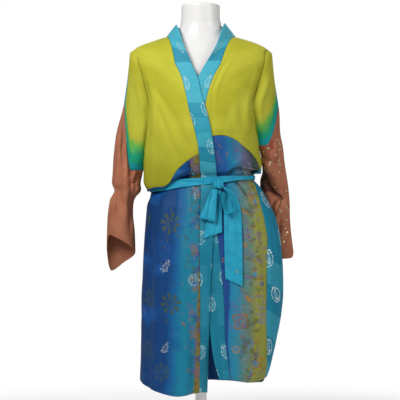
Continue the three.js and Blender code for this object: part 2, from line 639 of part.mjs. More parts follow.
// A closed wall of even thickness over quads. Edges that only one quad uses get a rim, and are drawn
// back a little, so that neighbours keep a seam's gap.
function wallOver(quads, thickness, inset = SEAM_INSET) {
  const ids = new Map();
  const points = [];
  const idOf = (p) => {
    const key = keyOf(p);
    if (!ids.has(key)) {
      ids.set(key, points.length);
      points.push(p.clone());
    }
    return ids.get(key);
  };
  const faces = quads.map((quad) => quad.map(idOf).filter((id, i, all) => all.indexOf(id) === i));
  const normals = points.map((p) => sharedNormals.get(keyOf(p)).clone().normalize());
  const uses = new Map();
  const around = faces.flatMap((face) => face.map((a, i) => [a, face[(i + 1) % face.length]]));
  for (const [a, b] of around) {
    const key = `${Math.min(a, b)},${Math.max(a, b)}`;
    uses.set(key, (uses.get(key) ?? 0) + 1);
  }
  const rim = around.filter(([a, b]) => uses.get(`${Math.min(a, b)},${Math.max(a, b)}`) === 1);
  const drawBack = points.map(() => new THREE.Vector3());
  for (const [a, b] of rim) {
    const along = points[b].clone().sub(points[a]);
    const normal = normals[a].clone().add(normals[b]);
    const inward = normal.cross(along).normalize();
    drawBack[a].add(inward);
    drawBack[b].add(inward);
  }
  points.forEach((p, i) => {
    const sum = drawBack[i];
    if (sum.lengthSq() === 0) return;
    p.add(sum.multiplyScalar((2 * inset) / sum.lengthSq()).clampLength(0, 2.5 * inset));
  });
  const outer = points.map((p, i) => p.clone().addScaledVector(normals[i], thickness / 2));
  const inner = points.map((p, i) => p.clone().addScaledVector(normals[i], -thickness / 2));
  const positions = [...outer, ...inner].flatMap((p) => p.toArray());
  const shift = points.length;
  const index = [];
  for (const face of faces) {
    for (const [a, b, c] of triangles(face, points)) {
      index.push(a, b, c, a + shift, c + shift, b + shift);
    }
  }
  for (const [a, b] of rim) index.push(b, a, a + shift, b, a + shift, b + shift);
  const geometry = new THREE.BufferGeometry();
  geometry.setAttribute("position", new THREE.Float32BufferAttribute(positions, 3));
  geometry.setIndex(index);
  return geometry;
}

// A face of three or four corners as triangles, split along the shorter diagonal.
function triangles(face, points) {
  if (face.length < 3) return [];
  if (face.length === 3) return [face];
  const [a, b, c, d] = face;
  const straight = points[a].distanceTo(points[c]) <= points[b].distanceTo(points[d]);
  return straight ? [[a, b, c], [a, c, d]] : [[a, b, d], [b, c, d]];
}

// ---- the pieces of cloth ----
const bodyFlip = { right: false, left: true };

function topFrontQuads(side) {
  const bodyAt = (i, j) => frontTop(side, i, j);
  const dropAt = (i, j) => dropPoint(side, "front", i, j);
  return [
    ...gridQuads(0, FRONT_COLUMNS, 0, TOP_ROWS, bodyAt, bodyFlip[side]),
    ...gridQuads(0, DROP_COLUMNS, 0, ARMPIT_ROW, dropAt, bodyFlip[side]),
  ];
}

function topBackQuads() {
  const dropAt = (side) => (i, j) => dropPoint(side, "back", i, j);
  return [
    ...gridQuads(0, 2 * BACK_COLUMNS, 0, TOP_ROWS, backTop, true),
    ...gridQuads(0, DROP_COLUMNS, 0, ARMPIT_ROW, dropAt("left")),
    ...gridQuads(0, DROP_COLUMNS, 0, ARMPIT_ROW, dropAt("right"), true),
  ];
}

function skirtFrontQuads(side, firstColumn, lastColumn) {
  const at = (i, j) => skirtFront(side, i, j);
  return gridQuads(firstColumn, lastColumn, 0, SKIRT_ROWS, at, bodyFlip[side]);
}

const PANEL_SPLIT = FRONT_COLUMNS - SIDE_PANEL_COLUMNS;
const sleeveQuads = (side) =>
  gridQuads(0, 2 * DROP_COLUMNS, 0, SLEEVE_ROWS, (i, j) => sleevePoint(side, i, j), bodyFlip[side]);
const bandQuads = (side) =>
  gridQuads(0, BAND_COLUMNS, 0, BAND_ROWS, (i, j) => bandPoint(side, i, j), !bodyFlip[side]);

const paint = (color, roughness = 0.8, metalness = 0) =>
  new THREE.MeshStandardMaterial({ color, roughness, metalness });
const finishes = {
  lime: paint(0xb5b32b),
  print: paint(0x1f6f9e),
  turquoise: paint(0x259fb8),
  terracotta: paint(0xa2624b),
  form: paint(0xe6e6e4, 0.25),
  steel: paint(0xb9bcc0, 0.3, 0.9),
};

const clothPieces = [
  { name: "top_front_right", quads: topFrontQuads("right"), finish: finishes.lime, thickness: CLOTH },
  { name: "top_front_left", quads: topFrontQuads("left"), finish: finishes.lime, thickness: CLOTH },
  { name: "top_back", quads: topBackQuads(), finish: finishes.lime, thickness: CLOTH },
  {
    name: "skirt_front_right",
    quads: skirtFrontQuads("right", 0, FRONT_COLUMNS),
    finish: finishes.print,
    thickness: CLOTH,
  },
  {
    name: "skirt_front_left",
    quads: skirtFrontQuads("left", 0, PANEL_SPLIT),
    finish: finishes.print,
    thickness: CLOTH,
  },
  {
    name: "side_panel_left",
    quads: [
      ...skirtFrontQuads("left", PANEL_SPLIT, FRONT_COLUMNS),
      ...gridQuads(0, SIDE_PANEL_COLUMNS, 0, SKIRT_ROWS, skirtBack, true),
    ],
    finish: finishes.turquoise,
    thickness: CLOTH,
  },
  {
    name: "skirt_back",
    quads: gridQuads(SIDE_PANEL_COLUMNS, 2 * BACK_COLUMNS, 0, SKIRT_ROWS, skirtBack, true),
    finish: finishes.print,
    thickness: CLOTH,
  },
  { name: "sleeve_right", quads: sleeveQuads("right"), finish: finishes.terracotta, thickness: CLOTH },
  { name: "sleeve_left", quads: sleeveQuads("left"), finish: finishes.terracotta, thickness: CLOTH },
  { name: "band_right", quads: bandQuads("right"), finish: finishes.turquoise, thickness: BAND_CLOTH },
  { name: "band_left", quads: bandQuads("left"), finish: finishes.turquoise, thickness: BAND_CLOTH },
];
for (const piece of clothPieces) shareNormals(piece.quads);

const kimono = new THREE.Group();
kimono.name = "kimono_on_form";
const add = (name, geometry, finish) => {
  const mesh = new THREE.Mesh(geometry, finish);
  mesh.name = name;
  kimono.add(mesh);
};
for (const piece of clothPieces) add(piece.name, wallOver(piece.quads, piece.thickness), piece.finish);

// ---- the belt and its bow ----
// The belt lies bunched at the sides, under the blouse, and flatter behind.
const BELT_LIFT = 3.3;
const BELT_TURNS = 26; // columns on each side
const beltEdges = [
  { turn: 0, rightTop: 9.4, rightFoot: 10.55, leftTop: 9.4, leftFoot: 10.55 },
  { turn: 0.12, rightTop: 9.4, rightFoot: 10.5, leftTop: 9.4, leftFoot: 10.4 },
  { turn: 0.25, rightTop: 9.75, rightFoot: 10.4, leftTop: 9.5, leftFoot: 10.2 },
  { turn: 0.5, rightTop: 9.75, rightFoot: 10.5, leftTop: 9.5, leftFoot: 10.1 },
  { turn: 0.7, rightTop: 9.6, rightFoot: 10.5, leftTop: 9.3, leftFoot: 10.4 },
  { turn: 1, rightTop: 9.3, rightFoot: 10.8, leftTop: 9.3, leftFoot: 10.8 },
];
function beltPoint(column, row) {
  const signed = column / BELT_TURNS - 1; // -1 and 1 meet at the centre back
  const side = signed < 0 ? "right" : "left";
  const turn = Math.abs(signed);
  const edge = (name) => along(beltEdges, "turn", side + name, turn);
  const ring = mix(edge("Top"), edge("Foot"), row / 3);
  const flat = bodyPoint(side, turn, ring);
  const over = turn > 0.5 ? 0 : OVERLAP_LIFT * ease((flat.x + 90) / 60) * ease((95 - flat.x) / 40);
  return bodyPoint(side, turn, ring, BELT_LIFT + over + foldDepth(side, turn, ring));
}

// Each end of the bow is a strip that hangs in front of the robe: its middle line, half width and how
// far it stands off the robe, from the knot down.
const FRONT_COLUMN = 4;
function strip(rows, count, lean = 0) {
  return gridQuads(0, FRONT_COLUMN, 0, count, (i, j) => {
    const at = (column) => along(rows, "step", column, (j / count) * rows.at(-1).step);
    const across = (2 * i) / FRONT_COLUMN - 1;
    const x = at("x") + across * at("half");
    const z = at("z") + across * at("slant");
    return new THREE.Vector3(x, frontY(x, z) - at("off") - lean * across * across, z);
  });
}
const shortTail = [
  { step: 0, x: 49, z: 691, half: 8, slant: 0, off: 13 },
  { step: 1, x: 46, z: 668, half: 12, slant: 1, off: 9.5 },
  { step: 2, x: 41, z: 635, half: 17, slant: 3, off: 8.6 },
  { step: 3, x: 35, z: 600, half: 22, slant: 6, off: 8.6 },
  { step: 4, x: 32, z: 566, half: 26, slant: 9, off: 8.8 },
];
const longTail = [
  { step: 0, x: 71, z: 692, half: 8, slant: 4, off: 9 },
  { step: 1, x: 80, z: 668, half: 17, slant: 2, off: 5.5 },
  { step: 2, x: 86, z: 632, half: 24, slant: 0, off: 4.2 },
  { step: 3, x: 88, z: 560, half: 25, slant: -3, off: 4 },
  { step: 4, x: 89, z: 500, half: 25, slant: -7, off: 4 },
  { step: 5, x: 90, z: 437, half: 24, slant: -11, off: 4 },
];
const rightLoop = [
  { step: 0, x: 37, z: 692, half: 8, slant: 0, off: 27 },
  { step: 1, x: 31, z: 670, half: 12, slant: 0, off: 29 },
  { step: 2, x: 24, z: 640, half: 17, slant: -1, off: 28 },
  { step: 2.8, x: 18, z: 616, half: 20.5, slant: -4, off: 25 },
  { step: 3.1, x: 16.5, z: 609, half: 21, slant: -5, off: 19.5 },
  { step: 3.4, x: 17, z: 613, half: 20.5, slant: -5, off: 13.5 },
  { step: 4.2, x: 23, z: 640, half: 16, slant: -1, off: 12.6 },
  { step: 5, x: 31, z: 668, half: 11, slant: 0, off: 14.5 },
  { step: 6, x: 37, z: 690, half: 7, slant: 0, off: 18 },
];
// The small loop is a ring seen nearly end on: its strip goes round in the plane of the robe's front
// and its width stands forward.
const leftLoop = [
  { step: 0, x: 66, z: 700, near: 17, deep: 14 },
  { step: 1, x: 77, z: 691, near: 12.5, deep: 16 },
  { step: 2, x: 89, z: 671, near: 9.5, deep: 18 },
  { step: 3, x: 96, z: 651, near: 7.6, deep: 19.5 },
  { step: 4, x: 91, z: 636, near: 7, deep: 20 },
  { step: 5, x: 80, z: 631, near: 7, deep: 20 },
  { step: 6, x: 70, z: 637, near: 7, deep: 19 },
  { step: 7, x: 64.5, z: 654, near: 8, deep: 18 },
  { step: 8, x: 63.5, z: 673, near: 11.5, deep: 15.5 },
  { step: 9, x: 64.5, z: 689, near: 15.5, deep: 12.5 },
];
const LOOP_LEAN = { x: -5, z: -5 };
const leftLoopQuads = gridQuads(0, 3, 0, 18, (i, j) => {
  const at = (column) => along(leftLoop, "step", column, j / 2);
  const forward = i / 3;
  const x = at("x") + LOOP_LEAN.x * forward;
  const z = at("z") + LOOP_LEAN.z * forward;
  return new THREE.Vector3(x, frontY(at("x"), at("z")) - at("near") - at("deep") * forward, z);
});

// The knot is a small soft lump of cloth drawn tight over the belt.
const KNOT = { x: 48, z: 706, wide: 15.5, high: 13.5, deep: 10, off: 19.7, crease: 0.12 };
function knot() {
  const geometry = new THREE.SphereGeometry(1, 18, 12);
  const place = geometry.getAttribute("position");
  for (let i = 0; i < place.count; i += 1) {
    const p = new THREE.Vector3().fromBufferAttribute(place, i);
    const crease = Math.exp(-(((p.x + 0.45 * p.z - 0.15) / 0.22) ** 2)) * (p.y < 0 ? 1 : 0.3);
    const size = (reach, v) => reach * Math.sign(v) * Math.abs(v) ** 0.86 * (1 - KNOT.crease * crease);
    place.setXYZ(i, size(KNOT.wide, p.x), size(KNOT.deep, p.y), size(KNOT.high, p.z));
  }
  geometry.deleteAttribute("normal");
  geometry.deleteAttribute("uv");
  return geometry.translate(KNOT.x, frontY(KNOT.x, KNOT.z) - KNOT.off, KNOT.z);
}

const strips = [
  { name: "belt", quads: gridQuads(0, 2 * BELT_TURNS, 0, 3, (i, j) => beltPoint(i % (2 * BELT_TURNS), j)) },
  { name: "bow_tail_short", quads: strip(shortTail, 8, 0.6) },
  { name: "bow_tail_long", quads: strip(longTail, 12, -0.5) },
  { name: "bow_loop_right", quads: strip(rightLoop, 20) },
  { name: "bow_loop_left", quads: leftLoopQuads },
];
for (const piece of strips) {
  shareNormals(piece.quads);
  add(piece.name, wallOver(piece.quads, BELT_CLOTH, 0), finishes.turquoise);
}
add("bow_knot", knot(), finishes.turquoise);

// ---- the display form and its stand ----
// Ovals up the torso: height, half width, how far it reaches forward and back, and how pointed its
// ends are, which is 1 for an ellipse.
const FORM_COLUMNS = 32;
const torso = [
  { z: 480, half: 138, front: 92, back: 96, point: 1 },
  { z: 484, half: 146, front: 99, back: 103, point: 1 },
  { z: 520, half: 152, front: 106, back: 110, point: 1 },
  { z: 560, half: 151, front: 107, back: 110, point: 1 },
  { z: 600, half: 147, front: 104, back: 107, point: 1 },
  { z: 640, half: 139, front: 98, back: 100, point: 1 },
  { z: 680, half: 129, front: 90, back: 85, point: 1 },
  { z: 716, half: 121, front: 86, back: 77, point: 1 },
  { z: 755, half: 124, front: 92, back: 76, point: 1 },
  { z: 800, half: 133, front: 106, back: 80, point: 1 },
  { z: 850, half: 144, front: 124, back: 87, point: 1 },
  { z: 900, half: 151, front: 134, back: 93, point: 1 },
  { z: 935, half: 158, front: 129, back: 96, point: 1 },
  { z: 970, half: 167, front: 117, back: 97, point: 1 },
  { z: 1005, half: 177, front: 106, back: 95, point: 1 },
  { z: 1035, half: 185, front: 97, back: 89, point: 1.05 },
  { z: 1059, half: 188.5, front: 89, back: 83, point: 1.15 },
  { z: 1073, half: 189, front: 83, back: 79, point: 1.3 },
  { z: 1082.6, half: 186.5, front: 77, back: 74, point: 1.45 },
  { z: 1091.4, half: 176, front: 73, back: 67, point: 1.5 },
  { z: 1101.5, half: 153, front: 69, back: 60, point: 1.5 },
  { z: 1111.5, half: 124, front: 61, back: 57, point: 1.5 },
  { z: 1119.3, half: 95, front: 61, back: 60, point: 1.4 },
  { z: 1128, half: 76, front: 59, back: 60, point: 1.2 },
  { z: 1140, half: 64, front: 58, back: 58, point: 1 },
  { z: 1158, half: 58, front: 58, back: 53, point: 1 },
  { z: 1182, half: 55.5, front: 59, back: 48, point: 1 },
  { z: 1206, half: 55, front: 60, back: 45, point: 1 },
  { z: 1213, half: 52, front: 57, back: 42, point: 1 },
  { z: 1216, half: 46, front: 51, back: 36, point: 1 },
];
const TORSO_MIDDLE = 2; // the ovals are centred this far behind the axis

// A closed solid through ovals, one above another, with a flat cap at each end.
function stack(ovals, columns, middle) {
  const ringPoints = ovals.map((oval) =>
    Array.from({ length: columns }, (_, i) => {
      const angle = (2 * Math.PI * i) / columns;
      const sine = Math.sin(angle);
      const deep = (sine < 0 ? -oval.front : oval.back) * Math.abs(sine) ** oval.point;
      return [oval.half * Math.cos(angle), middle + deep, oval.z];
    }),
  );
  const positions = ringPoints.flat(2);
  const foot = positions.length / 3;
  positions.push(0, middle, ovals[0].z, 0, middle, ovals.at(-1).z);
  const index = [];
  for (let i = 0; i < columns; i += 1) {
    const next = (i + 1) % columns;
    for (let k = 0; k < ovals.length - 1; k += 1) {
      const low = k * columns;
      const high = low + columns;
      index.push(low + i, low + next, high + next, low + i, high + next, high + i);
    }
    const top = (ovals.length - 1) * columns;
    index.push(foot, next, i, foot + 1, top + i, top + next);
  }
  const geometry = new THREE.BufferGeometry();
  geometry.setAttribute("position", new THREE.Float32BufferAttribute(positions, 3));
  geometry.setIndex(index);
  return geometry;
}
add("form_torso", stack(torso, FORM_COLUMNS, TORSO_MIDDLE), finishes.form);

const BASE_RADIUS = 170;
const POLE_RADIUS = 16;
const disc = (z, radius) => ({ z, half: radius, front: radius, back: radius, point: 1 });
const base = [
  disc(0, BASE_RADIUS - 2),
  disc(2, BASE_RADIUS),
  disc(8, BASE_RADIUS),
  disc(11, BASE_RADIUS - 4),
  disc(15, BASE_RADIUS - 60),
  disc(17, 44),
  disc(24, 30),
  disc(27, 26),
];
add("form_base", stack(base, 48, 0), finishes.form);
const pole = [
  disc(27 + REST_GAP, POLE_RADIUS),
  disc(452, POLE_RADIUS),
  disc(458, 34),
  disc(torso[0].z - REST_GAP, 38),
];
add("form_pole", stack(pole, 24, 0), finishes.form);

export default kimono;
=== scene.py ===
# A patchwork kimono robe with a tie belt, on a limbless display form: its looks, around the packed
# solids. Objects are in metres; the garment's own sizes are in millimetres, as a cutter gives them.
# Right and left are the wearer's, the wearer's right is at -X, and the robe faces -Y.
import bmesh
import bpy
import numpy as np
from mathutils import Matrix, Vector


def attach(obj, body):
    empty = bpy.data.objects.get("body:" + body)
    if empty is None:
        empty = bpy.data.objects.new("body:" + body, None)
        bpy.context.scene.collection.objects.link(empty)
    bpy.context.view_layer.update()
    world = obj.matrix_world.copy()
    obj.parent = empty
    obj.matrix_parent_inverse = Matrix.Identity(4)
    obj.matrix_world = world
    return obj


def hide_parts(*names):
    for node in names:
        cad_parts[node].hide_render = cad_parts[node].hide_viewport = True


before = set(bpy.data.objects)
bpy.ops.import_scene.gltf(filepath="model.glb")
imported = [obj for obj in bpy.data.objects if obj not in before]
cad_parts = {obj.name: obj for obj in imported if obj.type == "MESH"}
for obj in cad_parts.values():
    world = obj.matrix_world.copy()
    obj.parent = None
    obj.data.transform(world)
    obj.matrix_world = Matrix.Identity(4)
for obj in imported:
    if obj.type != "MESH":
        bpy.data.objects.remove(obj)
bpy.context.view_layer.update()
MM = 0.001

# ---- camera, light and floor ----
# A long lens level with the skirt, as for a catalogue picture. Two soft lamps light the front, a third
# one the back, and the floor is a pale disc that fades into the white round it.
SIGHT = Vector((0, 0, 0.663))
CAMERA_AWAY = 4.5
FRONT_OF_ROBE = 0.025  # the plane at which the picture is PICTURE_WIDTH wide
PICTURE_WIDTH, PICTURE_DOTS = 1.12, 400
SENSOR = 36
ROOM_LIGHT = 0.34  # what the room adds to the lamps
WHITE = (1, 1, 1, 1)

camera = bpy.data.objects.new("camera", bpy.data.cameras.new("camera"))
camera.data.sensor_width = SENSOR
camera.data.lens = SENSOR * (CAMERA_AWAY - FRONT_OF_ROBE) / PICTURE_WIDTH
camera.data.shift_x = -1 / PICTURE_DOTS
camera.location = SIGHT - Vector((0, CAMERA_AWAY, 0))
camera.rotation_euler = (np.pi / 2, 0, 0)
bpy.context.scene.collection.objects.link(camera)
bpy.context.scene.camera = camera
bpy.context.scene.view_settings.view_transform = "Standard"

KEY_LIGHTS = {
    "soft_left": dict(place=(-1.3, -1.9, 2.3), size=1.0, power=57),
    "soft_right": dict(place=(2.8, -2.2, 1.6), size=2.2, power=38),
    "soft_back": dict(place=(0.4, 2.8, 2.4), size=2.0, power=45),
}
for name, lamp in KEY_LIGHTS.items():
    light = bpy.data.lights.new(name, "AREA")
    light.size = lamp["size"]
    light.energy = lamp["power"]
    holder = bpy.data.objects.new(name, light)
    holder.location = lamp["place"]
    holder.rotation_euler = (SIGHT - holder.location).to_track_quat("-Z", "Y").to_euler()
    bpy.context.scene.collection.objects.link(holder)

world = bpy.data.worlds.new("studio")
world.use_nodes = True
bpy.context.scene.world = world
sky = world.node_tree.nodes["Background"]
sky.inputs["Color"].default_value = WHITE
sky.inputs["Strength"].default_value = ROOM_LIGHT
sky_seen = world.node_tree.nodes.new("ShaderNodeBackground")
sky_seen.inputs["Color"].default_value = WHITE
chooser = world.node_tree.nodes.new("ShaderNodeMixShader")
rays = world.node_tree.nodes.new("ShaderNodeLightPath")
for plug_from, plug_to in (
    (rays.outputs["Is Camera Ray"], chooser.inputs[0]),
    (sky.outputs[0], chooser.inputs[1]),
    (sky_seen.outputs[0], chooser.inputs[2]),
    (chooser.outputs[0], world.node_tree.nodes["World Output"].inputs["Surface"]),
):
    world.node_tree.links.new(plug_from, plug_to)

FLOOR_RADIUS, FLOOR_FADE, FLOOR_BELOW, FLOOR_CORNERS = 1400, 600, 0.5, 96  # mm


def new_object(name, points, faces):
    """An object of the scene from points in millimetres."""
    mesh = bpy.data.meshes.new(name)
    mesh.from_pydata((points * MM).tolist(), [], faces)
    made = bpy.data.objects.new(name, mesh)
    bpy.context.scene.collection.objects.link(made)
    return made


turns = np.linspace(0, 2 * np.pi, FLOOR_CORNERS, endpoint=False)
rim = np.stack([FLOOR_RADIUS * np.cos(turns), FLOOR_RADIUS * np.sin(turns), 0 * turns - FLOOR_BELOW], 1)
floor = new_object("floor", rim, [list(range(FLOOR_CORNERS))])


def node(tree, kind, inputs=(), **settings):
    """A node with its settings and inputs; an input is a number, a colour, a socket or a Wire."""
    made = tree.nodes.new(kind)
    for key, value in settings.items():
        setattr(made, key, value)
    for key, value in dict(inputs).items():
        value = getattr(value, "socket", value)
        if isinstance(value, bpy.types.NodeSocket):
            tree.links.new(value, made.inputs[key])
        else:
            made.inputs[key].default_value = value
    return made


class Wire:
    """A value in a material's node tree, reckoned with like a number."""

    def __init__(self, socket):
        self.socket, self.tree = socket, socket.id_data

    def math(self, operation, *others):
        inputs = enumerate((self, *others))
        return Wire(node(self.tree, "ShaderNodeMath", inputs, operation=operation).outputs[0])

    def __add__(self, other):
        return self.math("ADD", other)

    def __sub__(self, other):
        return self.math("SUBTRACT", other)

    def __mul__(self, other):
        return self.math("MULTIPLY", other)

    def __truediv__(self, other):
        return self.math("DIVIDE", other)

    def __neg__(self):
        return self * -1

    def smooth(self, low, high):
        """0 at low and 1 at high, eased between them; high may be below low."""
        inputs = {0: self, 1: low, 2: high}
        made = node(self.tree, "ShaderNodeMapRange", inputs, interpolation_type="SMOOTHSTEP")
        return Wire(made.outputs[0])

    def line(self, middle, half):
        """1 where the value is within half of middle, softly edged."""
        return (self - middle).math("ABSOLUTE").smooth(half, half * 0.5)

    def sine(self, turns):
        """The sine of so many turns for each unit of the value."""
        return (self * (2 * np.pi * turns)).math("SINE")


def length(a, b):
    """How far a place is from nought, by its two distances."""
    return (a * a + b * b).math("SQRT")


def ink(red, green, blue):
    """A colour from the eight-bit values that a colour book gives."""
    share = np.array([red, green, blue]) / 255
    return (*np.where(share <= 0.04045, share / 12.92, ((share + 0.055) / 1.055) ** 2.4), 1.0)


class Look:
    """A material being made: procedural, on the places of the cloth in millimetres."""

    def __init__(self, name, color, roughness, shine=0.5, places="cloth"):
        self.material = bpy.data.materials.new(name)
        self.material.use_nodes = True
        self.tree = self.material.node_tree
        self.shader = self.tree.nodes["Principled BSDF"]
        self.shader.inputs["Roughness"].default_value = roughness
        self.shader.inputs["Specular IOR Level"].default_value = shine
        if places == "cloth":
            self.place = node(self.tree, "ShaderNodeAttribute", attribute_name="cloth").outputs["Vector"]
        else:
            self.place = node(self.tree, "ShaderNodeTexCoord").outputs["Object"]
        split = node(self.tree, "ShaderNodeSeparateXYZ", {0: self.place})
        self.across, self.down, self.own = (Wire(socket) * (1 / MM) for socket in split.outputs)
        self.color, self.height, self.shaky = color, None, None

    def noise(self, size, detail=2.0, squash=(1, 1, 1), rough=0.5):
        """Cloudy noise of a size in millimetres, from 0 to 1."""
        at = node(self.tree, "ShaderNodeMapping", {"Vector": self.place, "Scale": squash}).outputs[0]
        inputs = {"Vector": at, "Scale": 1 / MM / size, "Detail": detail, "Roughness": rough}
        return Wire(node(self.tree, "ShaderNodeTexNoise", inputs).outputs["Fac"])

    def paint(self, color, share=1.0):
        """Lays a colour over what is there, by a share that may vary."""
        made = node(self.tree, "ShaderNodeMix", {0: share, 6: self.color, 7: color}, data_type="RGBA")
        self.color = made.outputs[2]

    def shade(self, factor, share=1.0):
        """Darkens or lightens the colour by a factor, by a share that may vary."""
        inputs = {0: share, 6: self.color, 7: (factor, factor, factor, 1)}
        made = node(self.tree, "ShaderNodeMix", inputs, data_type="RGBA", blend_type="MULTIPLY")
        self.color = made.outputs[2]

    def ramp(self, value, stops):
        """Colours that run into each other as the value rises, in millimetres."""
        low, high = stops[0][0], stops[-1][0]
        at = (value - low) / (high - low)
        made = node(self.tree, "ShaderNodeValToRGB", {0: at})
        marks = made.color_ramp.elements
        marks[0].color, marks[1].color = stops[0][1], stops[-1][1]
        for place, color in stops[1:-1]:
            marks.new((place - low) / (high - low)).color = color
        return made.outputs[0]

    def shaken(self):
        """The places of the cloth moved about by a millimetre or two, as a hand-cut block prints."""
        if self.shaky is None:
            clouds_a_metre, reach = 110.0, 8.5 * MM
            inputs = {"Vector": self.place, "Scale": clouds_a_metre, "Detail": 1.0}
            cloud = node(self.tree, "ShaderNodeTexNoise", inputs)
            inputs = {0: cloud.outputs["Color"], 1: (reach,) * 3, 2: (-reach / 2,) * 3}
            moved = node(self.tree, "ShaderNodeVectorMath", inputs, operation="MULTIPLY_ADD")
            inputs = {0: self.place, 1: moved.outputs[0]}
            self.shaky = node(self.tree, "ShaderNodeVectorMath", inputs, operation="ADD").outputs[0]
        return self.shaky

    def frame(self, x, y, size, turn=0):
        """Across and up from a place of the cloth, in units of a size and turned by degrees."""
        inputs = {
            "Vector": self.shaken(),
            "Location": (x * MM, y * MM, 0),
            "Rotation": (0, 0, np.radians(turn)),
            "Scale": (size * MM, size * MM, 1),
        }
        made = node(self.tree, "ShaderNodeMapping", inputs, vector_type="TEXTURE")
        split = node(self.tree, "ShaderNodeSeparateXYZ", {0: made.outputs[0]})
        return Wire(split.outputs[0]), Wire(split.outputs[1])

    def rough_up(self, height, depth):
        """Adds a fine relief, its depth in millimetres."""
        relief = height * depth
        self.height = relief if self.height is None else self.height + relief

    def done(self):
        """The finished material, with its colour and its relief joined to the shader."""
        if isinstance(self.color, tuple):
            self.shader.inputs["Base Color"].default_value = self.color
        else:
            self.tree.links.new(self.color, self.shader.inputs["Base Color"])
        if self.height is not None:
            inputs = {"Height": self.height, "Distance": MM, "Strength": 1.0}
            bump = node(self.tree, "ShaderNodeBump", inputs)
            self.tree.links.new(bump.outputs[0], self.shader.inputs["Normal"])
        return self.material


pale = Look("pale_floor", ink(243, 243, 241), 0.6, places="object")
pale.rough_up(pale.noise(14), 0.3)
pale.paint(ink(250, 250, 249), pale.noise(300))
away = length(pale.across, pale.down)
pale.tree.links.new(away.smooth(FLOOR_RADIUS * 0.98, FLOOR_FADE).socket, pale.shader.inputs["Alpha"])
floor.data.materials.append(pale.done())

# ---- the blouse: lime crepe fronts and back with dropped shoulders ----
# Three cuts of thin crepe, the two fronts crossed over and the back in one, sewn along the shoulders
# and dyed green to teal at the sleeves. The tables are the robe's own sections, and every other piece
# of cloth is worked out from them too.


def table(columns, rows):
    """A short table with named columns."""
    return dict(zip(columns.split(), np.array(rows, float).T))


def along(keys, values, at):
    """Values at places along keys by a cubic that never overshoots; values may have a column a place."""
    shape = np.shape(at)
    keys, values = np.asarray(keys, float), np.asarray(values, float)
    at = np.clip(np.ravel(at).astype(float), keys[0], keys[-1])
    i = np.clip(np.searchsorted(keys, at) - 1, 0, len(keys) - 2)
    step = np.diff(keys)
    slopes = np.diff(values, axis=0) / step.reshape(-1, *[1] * (values.ndim - 1))
    before, after = slopes[:-1], slopes[1:]
    turns_back = before * after <= 0
    inner = np.where(turns_back, 0, 2 * before * after / np.where(turns_back, 1, before + after))
    tangents = np.concatenate([slopes[:1], inner, slopes[-1:]])
    pick = (lambda a, k: a[k]) if values.ndim == 1 else (lambda a, k: a[k, np.arange(at.size)])
    low, rise = pick(values, i), pick(values, i + 1) - pick(values, i)
    leave, bend = pick(tangents, i), step[i] * (pick(tangents, i) + pick(tangents, i + 1)) - 2 * rise
    s = (at - keys[i]) / step[i]
    out = low + step[i] * leave * s * (1 - s) + rise * s * s + bend * s * s * (s - 1)
    return out.reshape(shape)


def mix(a, b, share):
    """From a to b by a share."""
    return a + (b - a) * share


def ease(v):
    """0 to 1, eased at both ends."""
    s = np.clip(v, 0, 1)
    return s * s * (3 - 2 * s)


# Sections from the chest (ring 0) past the belt (ring 10) to the hem (ring 19): half widths to the
# wearer's right and left, depths to the front and back, and how far the left side sits to the front.
RINGS = table("ring right left front back sway", [
    (0, 190, 192, 106, 98, 0), (1, 172, 175, 120, 105, 0), (2, 158, 160, 134, 108, 0),
    (3, 156, 156, 143, 108, 0), (4, 159, 158, 143, 108, 0), (5, 161, 161, 137, 108, 0),
    (6, 161.5, 164, 128, 110, 0), (7, 161.5, 170, 119, 110, 0), (8, 160, 167, 110, 104, 0),
    (9, 141, 150, 100.5, 91, 0), (10, 139, 148, 99, 89, 0), (11, 142, 166, 103, 94, -6),
    (12, 151, 194, 116, 108, -16), (13, 155, 212, 126, 118, -28), (14, 159, 222, 134, 125, -36),
    (15, 162, 226, 140, 130, -38), (16, 166, 226, 142, 132, -36), (17, 168, 216, 140, 130, -30),
    (18, 169, 199, 135, 127, -20), (19, 171, 184, 129, 123, -10),
])
# Height of each ring at the centre front, and how far it rises or drops from there at four more
# stations: two on the front, the side and the centre back.
STATIONS = (0, 0.11, 0.24, 0.5, 1)
LEVELS = [
    1040, 1000, 950, 905, 862, 826, 787, 758, 740, 729, 715, 691, 648, 602, 550, 480, 395, 305, 220, 137,
]
RISES = {
    "right": {
        5: (-4, -11, -13, 0), 6: (-7, -19, -23, 0), 7: (-13, -35, -42, 0), 8: (-18, -46, -53, 0),
        9: (-4, -10, -12, 0), 10: (-7, -17, -20, 0), 11: (-6, -15, -19, 0), 19: (-13, -3, 21, 5),
    },
    "left": {
        5: (12, 16, 6, 0), 6: (16, 26, 13, 0), 7: (10, 24, 8, 0), 8: (2, 14, -2, 0),
        9: (5, 9, 8, 0), 10: (4, 7, 7, 0), 11: (4, 7, 7, 0), 19: (33, 23, 31, 5),
    },
}
HEIGHTS = {}
for side, rises in RISES.items():
    HEIGHTS[side] = np.repeat(np.array(LEVELS, float)[:, None], len(STATIONS), axis=1)
    for number, rise in rises.items():
        HEIGHTS[side][number, 1:] += rise
HEM_RISE = dict(high=28, turn=0.11, ring=15)  # the left front, at the centre
HEM_DROP = dict(low=20, turn=0.52, ring=16)  # the back, just behind the left side
BELT_RING, LAST_RING = 10, 19

# The ring at which the blouse is sewn to the printed skirt, by turn from the centre front.
WAIST_SEAM = table("turn right left", [
    (0, 5.9, 4.75), (0.11, 6.9, 5.0), (0.18, 7.8, 5.45), (0.24, 7.95, 6.15), (0.5, 7.9, 7.8),
    (0.62, 7.3, 7.2), (1, 6.5, 6.5),
])
